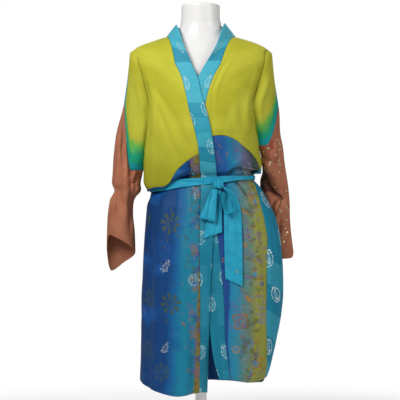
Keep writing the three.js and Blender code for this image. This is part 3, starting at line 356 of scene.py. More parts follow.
# Each front's band by height: its seam, its free edge and how far the right one turns back.
BAND_LINES = table("z right_seam right_free right_turn left_seam left_free", [
    (120, -4, 17, 28, 82, 55), (165, -4, 18, 27, 81, 50), (230, -3, 21, 20, 76, 35),
    (302, -2, 22.5, 4.5, 67, 25), (372, -2, 25, 0, 64, 20), (445, -3, 27, 0, 59, 14),
    (538, -4, 32, 0, 49, 4), (640, -2, 40, 0, 35, -10), (716, 0, 44, 0, 22, -22),
    (760, -3, 41, 0, 15, -30), (810, -8, 35, 0, 9, -36), (865, -20, 25, 0, 6, -39),
    (905, -31, 16, 0, 9, -37), (945, -39, 4, 0, 16, -29), (1000, -53, -9, 0, 34, -9),
    (1040, -72, -26, 0, 55, 13),
])
# The armpit valley by height: its distance from the centre.
VALLEYS = {
    "right": table("z x", [(747, 162), (806, 157), (868, 150), (935, 145), (982, 152), (1040, 172)]),
    "left": table("z x", [
        (809, 162), (838, 158), (873, 151), (929, 144), (963, 149), (1000, 159), (1040, 175),
    ]),
}
ARMPIT_RING = {"right": 6.35, "left": 5.6}
ARMPIT_OPENING = 5

SHOULDER_LINE = table("x y z", [
    (97, -3, 1121), (125, 0, 1113), (155, 2, 1103), (178, 2, 1093), (190, 2, 1084),
])
SHOULDER_STEEP = 1.15  # the arc over the shoulder, in radians
NECKLINE = table("step x y z", [
    (0, 0, 91, 1105), (1, 45, 82, 1111), (2, 78, 50, 1119), (3, 97, -3, 1121),
])
# The dropped shoulder (reach 0 to 1) and the sleeve (1 to 2): inner fold, top fold, how far it bulges
# fore and aft, and how wide its oval opens inwards.
LIMB_COLUMNS = "reach in_x in_y in_z out_x out_y out_z fore aft open"
LIMBS = {
    "right": table(LIMB_COLUMNS, [
        (0, 162, 0, 746, 199, 3, 1077, 6, 6, 0.9), (0.25, 162, 0, 746, 202, 4, 1043, 16, 14, 0.9),
        (0.5, 162, 0, 746, 206, 5, 1008, 26, 22, 0.85), (0.75, 162, 0, 746, 211, 6, 973, 36, 30, 0.85),
        (1, 162, 0, 746, 216, 8, 937, 44, 34, 0.85), (1.2, 173, 2, 708, 236, 10, 860, 42, 33, 0.1),
        (1.4, 188, 4, 670, 247, 11, 780, 34, 28, 0), (1.6, 191, 4, 622, 254, 12, 690, 28, 26, 0),
        (1.8, 186, 2, 568, 264, 10, 600, 28, 28, 0), (2, 184, 0, 516, 265, 6, 512, 31, 31, 0),
    ]),
    "left": table(LIMB_COLUMNS, [
        (0, 162, 0, 809, 199, 3, 1077, 6, 6, 0.9), (0.25, 162, 0, 809, 202, 4, 1043, 16, 14, 0.9),
        (0.5, 162, 0, 809, 206, 5, 1008, 26, 22, 0.85), (0.75, 162, 0, 809, 211, 7, 970, 32, 30, 0.85),
        (1, 162, 0, 809, 218, 9, 928, 36, 34, 0.85), (1.08, 169, 3, 786, 221, 11, 898, 34, 34, 0.5),
        (1.2, 174, 13, 750, 225, 17, 850, 31, 33, 0.1), (1.3, 167, 28, 718, 232, 26, 806, 31, 31, 0),
        (1.4, 168, 40, 690, 239, 36, 762, 30, 29, 0), (1.6, 181, 52, 628, 251, 52, 672, 27, 27, 0),
        (1.8, 196, 62, 562, 255, 60, 590, 24, 24, 0), (2, 203, 64, 492, 264, 60, 513, 23, 23, 0),
    ]),
}
CUFFS = {
    "right": table("lap rise", [
        (-1, 0), (-0.75, 18), (-0.4, 44), (-0.2, 52), (0, 6), (0.25, -50), (0.6, -24), (1, 0),
    ]),
    "left": table("lap rise", [(-1, 0), (-0.55, -6), (-0.2, -10), (0, 0), (0.3, 12), (0.7, 10), (1, 0)]),
}
CLIMB_START = {"right": 0.5, "left": 0.28, "back": 0}
SQUARENESS = 2.25  # exponent of the oval sections
OVERLAP_LIFT = 5.2  # how far the right front stands off the left one
OVERLAP_END, OVERLAP_EASE = -78, 50  # where that begins, and over what width it grows
SHOULDER_ROWS, CHEST_ROWS, WAIST_ROWS, SKIRT_ROWS, SLEEVE_ROWS = 4, 7, 4, 18, 12
ARMPIT_ROW = SHOULDER_ROWS + CHEST_ROWS
TOP_ROWS = ARMPIT_ROW + WAIST_ROWS
FRONT_COLUMNS, NECK_COLUMNS, BACK_COLUMNS, DROP_COLUMNS = 10, 6, 11, 7
SIGN = {"right": -1, "left": 1}
OTHER = {"right": "left", "left": "right"}

# The largest folds: soft troughs that run down the cloth, by turn and ring.
FOLDS = [
    dict(side="right", turn=0.035, wide=0.016, depth=15, start=15.6, end=20, lean=0.001),
    dict(side="right", turn=0.3, wide=0.03, depth=5, start=11, end=20, lean=0.003),
    dict(side="right", turn=0.15, wide=0.03, depth=4, start=2.4, end=9, lean=0.006),
    dict(side="right", turn=0.28, wide=0.03, depth=5, start=3, end=9, lean=-0.004),
    dict(side="left", turn=0.17, wide=0.025, depth=5, start=10.4, end=14, lean=0.012),
    dict(side="left", turn=0.17, wide=0.03, depth=4, start=2.4, end=8, lean=0.004),
    dict(side="left", turn=0.3, wide=0.03, depth=4, start=12, end=20, lean=-0.004),
]
FOLD_GROWS, FOLD_FADES = 2.5, 1.5  # over how many rings
BACK_GATHERS = dict(count=7, turn=0.54, top=3, belt=3.5, hem=8)


def ring_at(column, ring):
    """A measure of the section at a ring, whole or between two."""
    return along(RINGS["ring"], RINGS[column], ring)


def height_at(side, turn, ring):
    """How high a ring is at a turn."""
    turn, ring = np.broadcast_arrays(turn, ring)
    stations = [along(RINGS["ring"], column, ring).ravel() for column in HEIGHTS[side].T]
    level = along(STATIONS, np.stack(stations), np.abs(turn))
    if side == "right":
        return level
    near_hem = [ease((ring - k["ring"]) / (LAST_RING - k["ring"])) for k in (HEM_RISE, HEM_DROP)]
    rise = HEM_RISE["high"] * ease(1 - turn / HEM_RISE["turn"]) * near_hem[0]
    behind = ease((turn - HEM_DROP["turn"]) / 0.1) * ease((1 - turn) / 0.3)
    return level + rise - HEM_DROP["low"] * behind * near_hem[1]


def fold_depth(side, turn, ring):
    """How far the largest folds and the gathers behind draw the cloth in."""
    depth = 0
    for fold in (f for f in FOLDS if f["side"] == side):
        middle = fold["turn"] + fold["lean"] * (ring - fold["start"])
        full = ease((ring - fold["start"]) / FOLD_GROWS) * ease((fold["end"] - ring) / FOLD_FADES)
        depth = depth + fold["depth"] * full * np.exp(-(((turn - middle) / fold["wide"]) ** 2))
    gathers = BACK_GATHERS
    behind = ease((turn - gathers["turn"]) / 0.1)
    above = gathers["top"] * ease((ring - 4) / 4)
    below = mix(gathers["belt"], gathers["hem"], ease((ring - BELT_RING) / 6))
    phase = np.pi * gathers["count"] * (SIGN[side] * (1 - turn) + 0.06 * np.sin(9 * turn))
    return depth + behind * np.where(ring < BELT_RING, above, below) * (0.5 + 0.5 * np.cos(2 * phase))


def body_point(side, turn, ring, lift=0):
    """Turn 0 is the centre front, 0.5 the side and 1 the centre back."""
    turn, ring, lift = np.broadcast_arrays(turn, ring, lift)
    sine, cosine = np.sin(np.pi * turn), np.cos(np.pi * turn)
    wide = ring_at(side, ring)
    deep = np.where(turn < 0.5, ring_at("front", ring), ring_at("back", ring))
    across = np.sign(sine) * np.abs(sine) ** (2 / SQUARENESS)
    fore = -np.sign(cosine) * np.abs(cosine) ** (2 / SQUARENESS)
    out_x = np.sign(across) * np.abs(across) ** (SQUARENESS - 1) / wide
    out_y = np.sign(fore) * np.abs(fore) ** (SQUARENESS - 1) / deep
    size = np.hypot(out_x, out_y)
    out = (lift - fold_depth(side, turn, ring)) / np.maximum(size, 1e-12)
    sway = ring_at("sway", ring) * np.abs(across) ** 3 if side == "left" else 0
    x = SIGN[side] * (across * wide + out_x * out)
    return np.stack([x, fore * deep + sway + out_y * out, height_at(side, turn, ring)], -1)


def turn_at(side, x, ring):
    """The turn at which a ring is so far from the centre."""
    share = np.clip(SIGN[side] * x / ring_at(side, ring), -1, 1)
    return np.sign(share) * np.arcsin(np.abs(share) ** (SQUARENESS / 2)) / np.pi


def across_at(side, turn, ring):
    """How far from the centre a ring is at a turn, before folds."""
    sine = np.sin(np.pi * turn)
    return SIGN[side] * ring_at(side, ring) * np.sign(sine) * np.abs(sine) ** (2 / SQUARENESS)


def overlap_lift(side, x):
    """How far a front stands off the body, so that the right one lies over the left one."""
    return OVERLAP_LIFT * ease((x - OVERLAP_END) / OVERLAP_EASE) if side == "right" else 0


def ring_at_height(side, x, z):
    """The ring that passes through a place on a front, by halving."""
    low, high = np.zeros(np.shape(z)), np.full(np.shape(z), float(LAST_RING))
    for _ in range(18):
        middle = (low + high) / 2
        above = height_at(side, turn_at(side, x, middle), middle) > z
        low, high = np.where(above, middle, low), np.where(above, high, middle)
    return (low + high) / 2


def front_point(side, x, ring):
    """A point of either front. Past the centre it follows the other front at the same height."""
    lift = overlap_lift(side, x)
    point = body_point(side, turn_at(side, x, ring), ring, lift)
    other = OTHER[side]
    other_ring = ring_at_height(other, x, point[..., 2])
    beyond = body_point(other, turn_at(other, x, other_ring), other_ring, lift)[..., 1]
    point[..., 1] = np.where(SIGN[side] * x >= 0, point[..., 1], beyond)
    return point


def front_y(x, z):
    """How far forward the body reaches at a place on its front, before any overlap."""
    depths = {}
    for side in SIGN:
        ring = ring_at_height(side, x, z)
        depths[side] = body_point(side, turn_at(side, x, ring), ring)[..., 1]
    return np.where(x < 0, depths["right"], depths["left"])


def seam_x(side, ring):
    """Where the band is sewn to a front."""
    return along(BAND_LINES["z"], BAND_LINES[side + "_seam"], height_at(side, 0, ring))


def seam_ring(side, turn):
    """Where the blouse is sewn to the skirt."""
    return along(WAIST_SEAM["turn"], WAIST_SEAM[side], turn)


def armpit_share(side):
    """How far down the blouse its armpit is."""
    return ARMPIT_RING[side] / seam_ring(side, 0.5)


def top_ring(row, seam, share):
    """The ring of a row of the blouse, whose armpit lies at a share of the way to its waist seam."""
    armpit = share * seam
    below = mix(armpit, seam, (row - ARMPIT_ROW) / WAIST_ROWS)
    return np.where(row <= ARMPIT_ROW, armpit * (row - SHOULDER_ROWS) / CHEST_ROWS, below)


def edge_turn(side, face, row):
    """Where a row of the blouse ends: the armpit valley, then the side seam below the armpit."""
    ring = top_ring(np.clip(row, SHOULDER_ROWS, ARMPIT_ROW), seam_ring(side, 0.5), armpit_share(side))
    valley = along(VALLEYS[side]["z"], VALLEYS[side]["x"], height_at(side, 0.5, ring))
    turn = turn_at(side, SIGN[side] * np.minimum(valley, ring_at(side, ring) - 0.05), ring)
    turn = mix(turn, 0.5, np.clip(row - ARMPIT_ROW, 0, 1))
    return turn if face == "front" else 1 - turn


def over_shoulder(top, low, share):
    """A curve that leaves the shoulder seam level and comes down onto the chest or shoulder blade."""
    share = share * mix(0.5, 1, share)
    bend = share * SHOULDER_STEEP
    shares = [share, np.sin(bend) / np.sin(SHOULDER_STEEP)]
    shares.append((1 - np.cos(bend)) / (1 - np.cos(SHOULDER_STEEP)))
    return np.stack([mix(top[..., i], low[..., i], s) for i, s in enumerate(shares)], -1)


def shoulder_point(side, share):
    """A point of the shoulder seam, from the neck to the armhole."""
    x = mix(SHOULDER_LINE["x"][0], SHOULDER_LINE["x"][-1], share)
    y, z = (along(SHOULDER_LINE["x"], SHOULDER_LINE[k], x) for k in "yz")
    return np.stack([SIGN[side] * x, y, z], -1)


def armpit_gap(column_from_edge, row):
    """The little opening left at the armpit, where four pieces meet."""
    near = np.clip(1 - np.abs(row - ARMPIT_ROW), 0, 1) * np.clip(1 - column_from_edge, 0, 1)
    return ARMPIT_OPENING * near


def front_top(side, column, row):
    """Front of the blouse: column 0 is the band's seam, the last one the valley or the side seam."""
    column, row = np.broadcast_arrays(np.asarray(column, float), np.asarray(row, float))
    share = column / FRONT_COLUMNS
    ring = top_ring(np.maximum(row, SHOULDER_ROWS), seam_ring(side, 0.5 * share), armpit_share(side))
    start = turn_at(side, seam_x(side, ring), ring)
    turn = mix(start, edge_turn(side, "front", row), share)
    point = body_point(side, turn, ring, overlap_lift(side, across_at(side, turn, ring)))
    point[..., 1] -= armpit_gap(FRONT_COLUMNS - column, row)
    over = over_shoulder(shoulder_point(side, share), point, np.minimum(row / SHOULDER_ROWS, 1))
    return np.where((row < SHOULDER_ROWS)[..., None], over, point)


def back_half(side, out, row):
    """Half of the blouse's back: out is in columns from the centre back."""
    out, row = np.broadcast_arrays(np.asarray(out, float), np.asarray(row, float))
    share = out / BACK_COLUMNS
    balance = mix(armpit_share("right"), armpit_share("left"), (SIGN[side] * share + 1) / 2)
    ring = top_ring(np.maximum(row, SHOULDER_ROWS), seam_ring(side, 1 - 0.5 * share), balance)
    point = body_point(side, mix(1, edge_turn(side, "back", row), share), ring)
    point[..., 1] += armpit_gap(BACK_COLUMNS - out, row)
    neck = [along(NECKLINE["step"], NECKLINE[k], 3 * out / NECK_COLUMNS) for k in "xyz"]
    neck = np.stack([SIGN[side] * neck[0], neck[1], neck[2]], -1)
    shoulder = shoulder_point(side, 2 * (out - NECK_COLUMNS) / FRONT_COLUMNS)
    top = np.where((out < NECK_COLUMNS)[..., None], neck, shoulder)
    over = over_shoulder(top, point, np.minimum(row / SHOULDER_ROWS, 1))
    return np.where((row < SHOULDER_ROWS)[..., None], over, point)


def on_back(half, column, row):
    """A back piece from its two halves: columns run from the wearer's left side to the right one."""
    column, row = np.broadcast_arrays(np.asarray(column, float), np.asarray(row, float))
    out = np.abs(BACK_COLUMNS - column)
    halves = half("left", out, row), half("right", out, row)
    return np.where((column < BACK_COLUMNS)[..., None], *halves)


def limb_point(side, face, share, reach):
    """The dropped shoulder and the sleeve, from the inner fold over one face to the top fold."""
    share, reach = np.broadcast_arrays(np.asarray(share, float), np.asarray(reach, float))
    limb = {k: along(LIMBS[side]["reach"], LIMBS[side][k], reach) for k in LIMBS[side]}
    row = np.minimum(reach, 1) * ARMPIT_ROW
    body = front_top(side, FRONT_COLUMNS, row) if face == "front" else back_half(side, BACK_COLUMNS, row)
    fold = np.stack([SIGN[side] * limb["in_x"], limb["in_y"], limb["in_z"]], -1)
    inner = mix(body, fold, np.clip((reach - 1) * SLEEVE_ROWS, 0, 1)[..., None])
    outer = np.stack([SIGN[side] * limb["out_x"], limb["out_y"], limb["out_z"]], -1)
    first = -np.pi + limb["open"]
    angle = mix(first, 0, share)
    across = (np.cos(angle) - np.cos(first)) / (1 - np.cos(first))
    bulge = np.sin(angle) - (1 - share) * np.sin(first)
    deep = limb["fore"] if face == "front" else -limb["aft"]
    start = CLIMB_START[side if face == "front" else "back"]
    climb = ease((share - start) / (1 - start))
    late = mix(share, climb, ease(reach * 1.2) * ease((2 - reach) / 0.7))
    lap = (share - 1) if face == "front" else (1 - share)
    rise = along(CUFFS[side]["lap"], CUFFS[side]["rise"], lap) * ease((reach - 1.3) / 0.7)
    x = mix(inner[..., 0], outer[..., 0], across)
    y = mix(inner[..., 1], outer[..., 1], share) + deep * bulge
    return np.stack([x, y, mix(inner[..., 2], outer[..., 2], late) + rise], -1)


def grid(from_column, to_column, from_row, to_row, point_at, columns, rows):
    """The points of a patch, rows by columns, with so many steps each way for each of the net's own."""
    i = np.linspace(from_column, to_column, int(round((to_column - from_column) * columns)) + 1)
    j = np.linspace(from_row, to_row, int(round((to_row - from_row) * rows)) + 1)
    return point_at(i[None, :] + 0 * j[:, None], j[:, None] + 0 * i[None, :])


def lay_folds(points, out, folds, faces_back=False):
    """Moves points along their outward directions into soft troughs and ridges.

    A fold is its depth, its half width and its path: (x, z) places seen from the front. A negative
    depth is a ridge. Folds fade to both ends, and a fold touches one face of the robe alone.
    """
    for depth, wide, *path in folds:
        path = np.array(path, float)
        steps = np.diff(path, axis=0)
        lengths = np.hypot(*steps.T)
        starts = np.concatenate([[0], np.cumsum(lengths)])[:-1]
        flat = points[:, [0, 2]]
        reach = np.einsum("nkj,kj->nk", flat[:, None] - path[:-1], steps) / lengths**2
        nearest = path[:-1] + np.clip(reach, 0, 1)[..., None] * steps
        away = np.linalg.norm(flat[:, None] - nearest, axis=2)
        best = away.argmin(1)
        pick = np.arange(len(points)), best
        run = (starts[best] + np.clip(reach[pick], 0, 1) * lengths[best]) / lengths.sum()
        fade = np.sin(np.pi * np.clip(run, 0.03, 0.97)) ** 0.6
        uneven = 0.8 + 0.2 * np.sin(run * 11 + depth)
        trough = depth * fade * uneven * np.exp(-((away[pick] / wide) ** 2))
        facing = ease(0.5 + 2 * out[:, 1] * (1 if faces_back else -1))
        points = points - out * (trough * facing)[:, None]
    return points


RIPPLE_WAVES = 7


def ripple(points, out, depth, size, seed):
    """Uneven waves as soft cloth has, made of a few slanting sines."""
    draw = np.random.default_rng(seed)
    wave = 0
    for _ in range(RIPPLE_WAVES):
        slant = draw.normal(0, 1, 3) * (1, 1, 0.55)
        slant *= 2 * np.pi / (size * draw.uniform(0.7, 1.6) * np.linalg.norm(slant))
        wave = wave + np.sin(points @ slant + draw.uniform(0, 6.28))
    return points + out * (depth * wave / 3)[:, None]


CLOTH_PIECES = {}  # points, outward directions and cloth places, for what is sewn on later
SEAM_NIP = 0.5  # how far a sewn edge is drawn in
CELLS_A_MM, CELL_SHIFT = 50, 0.137  # points that share a cell are one point
RIM_ROUND = 0.45  # how far the round edge of a wall stands out, in thicknesses
CORNER = dict(shift=11, z=688, tall=15, x=-146, wide=12)  # the lower corner that is rounded


def round_the_blouse(points):
    """Rounds the lower corner of the blouse at the right side, where it hangs over the belt."""
    x, z = points[:, 0], points[:, 2]
    near = ease((CORNER["x"] - x) / CORNER["wide"])
    shift = CORNER["shift"] * np.exp(-(((z - CORNER["z"]) / CORNER["tall"]) ** 2)) * near
    return points + shift[:, None] * [1, 0, 0]


def unit(vectors):
    """The same directions, each of the length one."""
    return vectors / np.maximum(np.linalg.norm(vectors, axis=1, keepdims=True), 1e-9)


def wall(name, patches, thick, folds=(), wave=0.8, wave_size=70, seed=1, nip=SEAM_NIP, faces_back=False):
    """A thin closed shell over patches that share their meeting edges, with round edges.

    A patch is (points, cloth places, whether it is wound the other way).
    """
    places = np.concatenate([p.reshape(-1, 3) for p, _, _ in patches])
    cloth = np.concatenate([c.reshape(-1, 3) for _, c, _ in patches])
    cells = np.round(places * CELLS_A_MM + CELL_SHIFT)
    _, first, ids = np.unique(cells, axis=0, return_index=True, return_inverse=True)
    ids = ids.ravel()
    points, cloth = places[first], cloth[first]
    quads, start = [], 0
    for patch, _, flip in patches:
        rows, columns = patch.shape[:2]
        net = ids[start : start + rows * columns].reshape(rows, columns)
        corners = [net[:-1, :-1], net[:-1, 1:], net[1:, 1:], net[1:, :-1]]
        quads.append(np.stack(corners[::-1] if flip else corners, -1).reshape(-1, 4))
        start += rows * columns
    quads = np.concatenate(quads)
    edges = np.stack([quads, np.roll(quads, -1, axis=1)], -1).reshape(-1, 2)
    code = np.sort(edges, axis=1) @ [len(points), 1]
    _, back, uses = np.unique(code, return_inverse=True, return_counts=True)
    border = edges[uses[back.ravel()] == 1]

    def outward(at):
        across, down = at[quads[:, 2]] - at[quads[:, 0]], at[quads[:, 3]] - at[quads[:, 1]]
        total = np.zeros_like(at)
        for k in range(4):
            np.add.at(total, quads[:, k], np.cross(across, down))
        return unit(total)

    points = round_the_blouse(points)
    out = outward(points)
    points = ripple(points, out, wave, wave_size, seed)
    points = lay_folds(points, out, folds, faces_back)
    out = outward(points)
    on_border = np.unique(border)
    points[on_border] -= out[on_border] * nip
    inward = np.zeros_like(points)
    for end in range(2):
        side = np.cross(out[border].sum(1), points[border[:, 1]] - points[border[:, 0]])
        np.add.at(inward, border[:, end], unit(side))
    inward = unit(inward)
    CLOTH_PIECES[name] = dict(points=points.copy(), out=out, cloth=cloth)
    points = points + inward * thick / 2
    count = len(points)
    middle = {v: 2 * count + k for k, v in enumerate(on_border)}
    mid_ids = np.array([middle[v] for v in border.ravel()]).reshape(-1, 2)
    edge = points[on_border] - inward[on_border] * thick * RIM_ROUND
    every = np.concatenate([points + out * thick / 2, points - out * thick / 2, edge])
    a, b = border.T
    outer_rim = np.stack([b, a, mid_ids[:, 0], mid_ids[:, 1]], 1)
    inner_rim = np.stack([mid_ids[:, 1], mid_ids[:, 0], a + count, b + count], 1)
    faces = np.concatenate([quads, quads[:, ::-1] + count, outer_rim, inner_rim])
    piece = new_object(name, every, faces.tolist())
    piece.data.validate()
    piece.data.polygons.foreach_set("use_smooth", np.ones(len(piece.data.polygons), bool))
    held = np.concatenate([cloth, cloth, cloth[on_border]]) * MM
    written = piece.data.attributes.new("cloth", "FLOAT_VECTOR", "POINT")
    written.data.foreach_set("vector", held.astype(np.float32).ravel())
    return piece


def run_across(points):
    """The distance along each row of a patch from its first point."""
    steps = np.linalg.norm(np.diff(points, axis=1), axis=2)
    return np.concatenate([np.zeros((len(points), 1)), np.cumsum(steps, axis=1)], 1)


def cloth_places(points, own=0.0):
    """Cloth places of a patch: the distance along the row from its first column, the height, and a
    third value that each piece uses for a purpose of its own."""
    return np.stack([run_across(points), points[..., 2], own + 0 * points[..., 2]], -1)


def from_hem(points):
    """The distance down each column of a patch to its last row."""
    steps = np.linalg.norm(np.diff(points, axis=0), axis=2)
    return np.concatenate([np.cumsum(steps[::-1], axis=0)[::-1], np.zeros((1, points.shape[1]))])


def fit(piece, name, material):
    """Puts a finished piece in place of a plain solid of the robe or of its form."""
    piece.data.materials.append(material)
    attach(piece, "root")
    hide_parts(name)


def add_piece(name, patches, thick, slot, material, cut, held, rests_on, **look):
    """A cut of cloth: cut, its flat width, length and area in metres and square metres, is not used."""
    piece = wall(name + "_cloth", patches, thick, **look)
    fit(piece, name, material)


OVER_BELT = (8, 8, (-159, 693), (-139, 691), (-118, 689), (-90, 696))  # where the cloth turns under
CREASES_RIGHT = [  # depth, half width and the path; a negative depth is a ridge
    (4, 5, (-169, 1038), (-156, 997), (-145, 956), (-141, 920), (-143, 868), (-150, 794)),
    (-8, 9, (-186, 1023), (-174, 980), (-162, 930), (-160, 882), (-166, 800)),
    (-5, 8, (-150, 1010), (-137, 975), (-127, 925), (-127, 868), (-134, 790)),
    (6, 9, (-134, 980), (-107, 942), (-71, 882), (-38, 813), (-22, 778)),
    (5, 8, (-123, 926), (-98, 868), (-68, 800), (-52, 751)),
    (-5, 9, (-128, 960), (-100, 904), (-72, 827), (-58, 773)),
    (5, 9, (-112, 850), (-101, 779), (-104, 707)),
    (-5, 10, (-131, 854), (-126, 773), (-128, 712)),
    OVER_BELT,
    (3, 7, (-79, 1046), (-66, 977), (-46, 909)),
]
CREASES_LEFT = [
    (5, 5, (178, 1046), (161, 994), (146, 950), (142, 917), (149, 871), (156, 819)),
    (-8, 9, (192, 1023), (180, 980), (166, 940), (162, 905), (170, 850)),
    (-5, 8, (158, 1020), (142, 975), (127, 935), (126, 890), (134, 830)),
    (4.5, 3.2, (85, 1068), (68, 1043), (52, 1016), (36, 977), (30, 942), (31, 854)),
    (-3, 3.5, (96, 1062), (77, 1035), (57, 1002), (44, 964), (38, 909)),
    (2.5, 2.5, (93, 1051), (77, 1046), (63, 1051)),
    (2.5, 2.5, (77, 1021), (60, 1018), (46, 1024)),
    (2, 2.5, (63, 991), (46, 991), (33, 997)),
    (3, 11, (107, 960), (110, 900), (105, 833)),
    (2.5, 11, (80, 930), (72, 890), (68, 840)),
]
CREASES_BACK = [
    (4, 5, (-169, 1038), (-156, 990), (-146, 930), (-146, 870), (-156, 800)),
    (-7, 10, (-188, 1030), (-172, 970), (-165, 900), (-170, 820)),
    (4, 5, (172, 1040), (160, 985), (148, 930), (149, 870), (158, 812)),
    (-7, 10, (190, 1030), (176, 970), (168, 910), (174, 850)),
    (4, 11, (-120, 1030), (-95, 950), (-80, 860), (-70, 780)),
    (4, 11, (124, 1030), (104, 940), (80, 850), (62, 775)),
    (-3, 12, (-60, 1000), (-52, 900), (-40, 800)),
    (3, 10, (20, 990), (14, 900), (22, 800)),
    (-3, 10, (90, 985), (70, 880), (48, 790)),
]
CREPE_THICK = 1.2
CREPE_FOLD, CREPE_FOLD_SHADE = 3.5, 0.62
TOP_CUTS = {"right": (0.3, 0.42, 0.092), "left": (0.28, 0.36, 0.072), "back": (0.6, 0.4, 0.176)}
FINE = 5  # steps to each of the net's own
STRIP_SHARE = 0.88  # how far round to the top fold the turquoise edge strip starts
DYED_FROM = {"right": 0.79, "left": 0.68}  # where on the drop the green starts, by reach
STRIP_FROM = {"right": 0.42, "left": 0.7}  # where the turquoise edge strip starts, by reach


def shoulder_dye(side, share, reach):
    """0 to 1 is lime to teal towards the sleeve's seam; 3 is the turquoise strip at the top fold."""
    dyed = np.clip((reach - DYED_FROM[side]) / (1 - DYED_FROM[side]), 0, 1)
    strip = np.clip((share - STRIP_SHARE) / 0.03, 0, 1) * np.clip((reach - STRIP_FROM[side]) / 0.02, 0, 1)
    return np.maximum(dyed, 3 * strip)


def deep_fold(look, path, half, factor):
    """Deepens the shade along the bottom of a sharp fold: a path of cloth places, and its half width."""
    nearest = None
    for (x, y), (x_end, y_end) in zip(path, path[1:]):
        run, rise = x_end - x, y_end - y
        share = ((look.across - x) * run + (look.down - y) * rise) / (run * run + rise * rise)
        share = share.math("MAXIMUM", 0).math("MINIMUM", 1)
        away = length(look.across - share * run - x, look.down - share * rise - y)
        nearest = away if nearest is None else nearest.math("MINIMUM", away)
    look.shade(factor, (nearest + look.noise(14) * half - half * 0.5).smooth(half, half * 0.15))


def lime_crepe(dark_folds):
    """The crepe, dyed green to teal on the dropped shoulders, with painted shade low down, at the sides
    and in the folds at an armhole.
    """
    look = Look("lime_crepe", ink(188, 186, 58), 0.78, shine=0.15)
    look.paint(ink(172, 169, 42), look.noise(120, 3).smooth(0.35, 0.7))
    # painted shade: darker from the chest down towards the waist
    look.paint(ink(148, 146, 28), look.down.smooth(860, 700) * 0.8)
    # painted shade: the sides and dropped shoulders below the shoulder line a little darker
    look.shade(0.9, look.across.smooth(90, 140) * look.down.smooth(1080, 1000))
    look.rough_up(look.noise(2.2, 2, (1, 0.5, 1)), 0.35)
    look.rough_up(look.noise(9, 3), 0.5)
    dye = look.own + (look.noise(30) - 0.5) * 0.35
    look.paint(ink(95, 170, 75), dye.smooth(0.12, 0.4))
    look.paint(ink(22, 148, 112), dye.smooth(0.35, 0.65))
    look.paint(ink(18, 140, 150), dye.smooth(0.7, 0.95))
    look.paint(ink(36, 140, 160), look.own.smooth(1.6, 1.8))
    for path in dark_folds:
        deep_fold(look, path, CREPE_FOLD, CREPE_FOLD_SHADE)
    return look.done()


def dropped_shoulder(side, face):
    """The front or back half of a dropped shoulder, and its cloth places with the dye."""
    drop = grid(0, DROP_COLUMNS, 0, ARMPIT_ROW,
                lambda i, j: limb_point(side, face, i / DROP_COLUMNS, j / ARMPIT_ROW), FINE, FINE)
    share, reach = np.linspace(0, 1, drop.shape[1])[None], np.linspace(0, 1, drop.shape[0])[:, None]
    return drop, cloth_places(drop, shoulder_dye(side, share, reach))


def add_top(name, patches, dark_folds, cut, **look):
    """A cut of the blouse."""
    add_piece(name, patches, CREPE_THICK, "lime_crepe", lime_crepe(dark_folds), cut, "draped",
              "form_torso_smooth", **look)


ARMHOLE_FOLDS = {
    "right": [(108, 1060), (116, 1026), (130, 979), (140, 927), (167, 854), (192, 810)],
    "left": [(103, 1086), (134, 1040), (139, 1005), (148, 956), (145, 918), (157, 879), (163, 850)],
}
for side in ("right", "left"):
    flip = side == "left"
    body = grid(0, FRONT_COLUMNS, 0, TOP_ROWS, lambda i, j: front_top(side, i, j), FINE, FINE)
    body_cloth = cloth_places(body)
    drop, drop_cloth = dropped_shoulder(side, "front")
    drop_cloth[..., 0] += body_cloth[: len(drop), -1, 0][:, None]
    add_top("top_front_" + side, [(body, body_cloth, flip), (drop, drop_cloth, flip)],
            [ARMHOLE_FOLDS[side]], TOP_CUTS[side], seed=3 + flip,
            folds=CREASES_LEFT if flip else CREASES_RIGHT)
back = grid(0, 2 * BACK_COLUMNS, 0, TOP_ROWS, lambda i, j: on_back(back_half, i, j), FINE, FINE)
patches = [(back, cloth_places(back), True)]
patches += [(*dropped_shoulder(side, "back"), side == "right") for side in ("left", "right")]
add_top("top_back", patches, (), TOP_CUTS["back"], seed=5, folds=CREASES_BACK, faces_back=True)

# ---- the printed skirt: two fronts, a side panel and the back ----
# Washed raw silk, block printed with ordinary flowers, leaves, paisleys and boxes, sewn to the blouse
# and gathered under the belt. The turquoise panel is let in at the wearer's left side.
SIDE_SEAM = table("ring x", [
    (9, 146), (10, 146), (11, 153), (12, 166), (13, 177), (14, 185), (15, 184), (17, 182), (18, 183),
    (19, 178),
])
SIDE_PANEL_COLUMNS = 2
PANEL_SPLIT = FRONT_COLUMNS - SIDE_PANEL_COLUMNS


def skirt_ring(row, seam):
    """Rows bunch at the lower edge of the blouse and at the belt, then spread to the hem."""
    row, seam = np.broadcast_arrays(row, seam)
    bunched = np.maximum(8, mix(seam, 9, 0.67))
    rings = [seam, bunched, 9, BELT_RING, 10.4, 10.85, 11.5, LAST_RING]
    rings = np.stack([np.broadcast_to(r, seam.shape).ravel() for r in rings])
    return along((0, 2, 3, 5, 6, 7, 8, SKIRT_ROWS), rings, row)


def skirt_front(side, column, row):
    """Front of the skirt: column 0 is the band's seam, the last one the side seam."""
    column, row = np.broadcast_arrays(np.asarray(column, float), np.asarray(row, float))
    share = column / FRONT_COLUMNS
    ring = skirt_ring(row, seam_ring(side, 0.5 * share))
    start = turn_at(side, seam_x(side, ring), ring)
    if side == "right":
        turn = mix(start, 0.5, share)
        return body_point(side, turn, ring, overlap_lift(side, across_at(side, turn, ring)))
    split = PANEL_SPLIT / FRONT_COLUMNS
    sewn = turn_at(side, along(SIDE_SEAM["ring"], SIDE_SEAM["x"], ring), ring)
    panel = mix(mix(start, 0.5, split), sewn, ease((ring - 8) / 2))
    before = mix(start, panel, share / split)
    after = mix(panel, 0.5, (share - split) / (1 - split))
    return body_point(side, np.where(share <= split, before, after), ring)


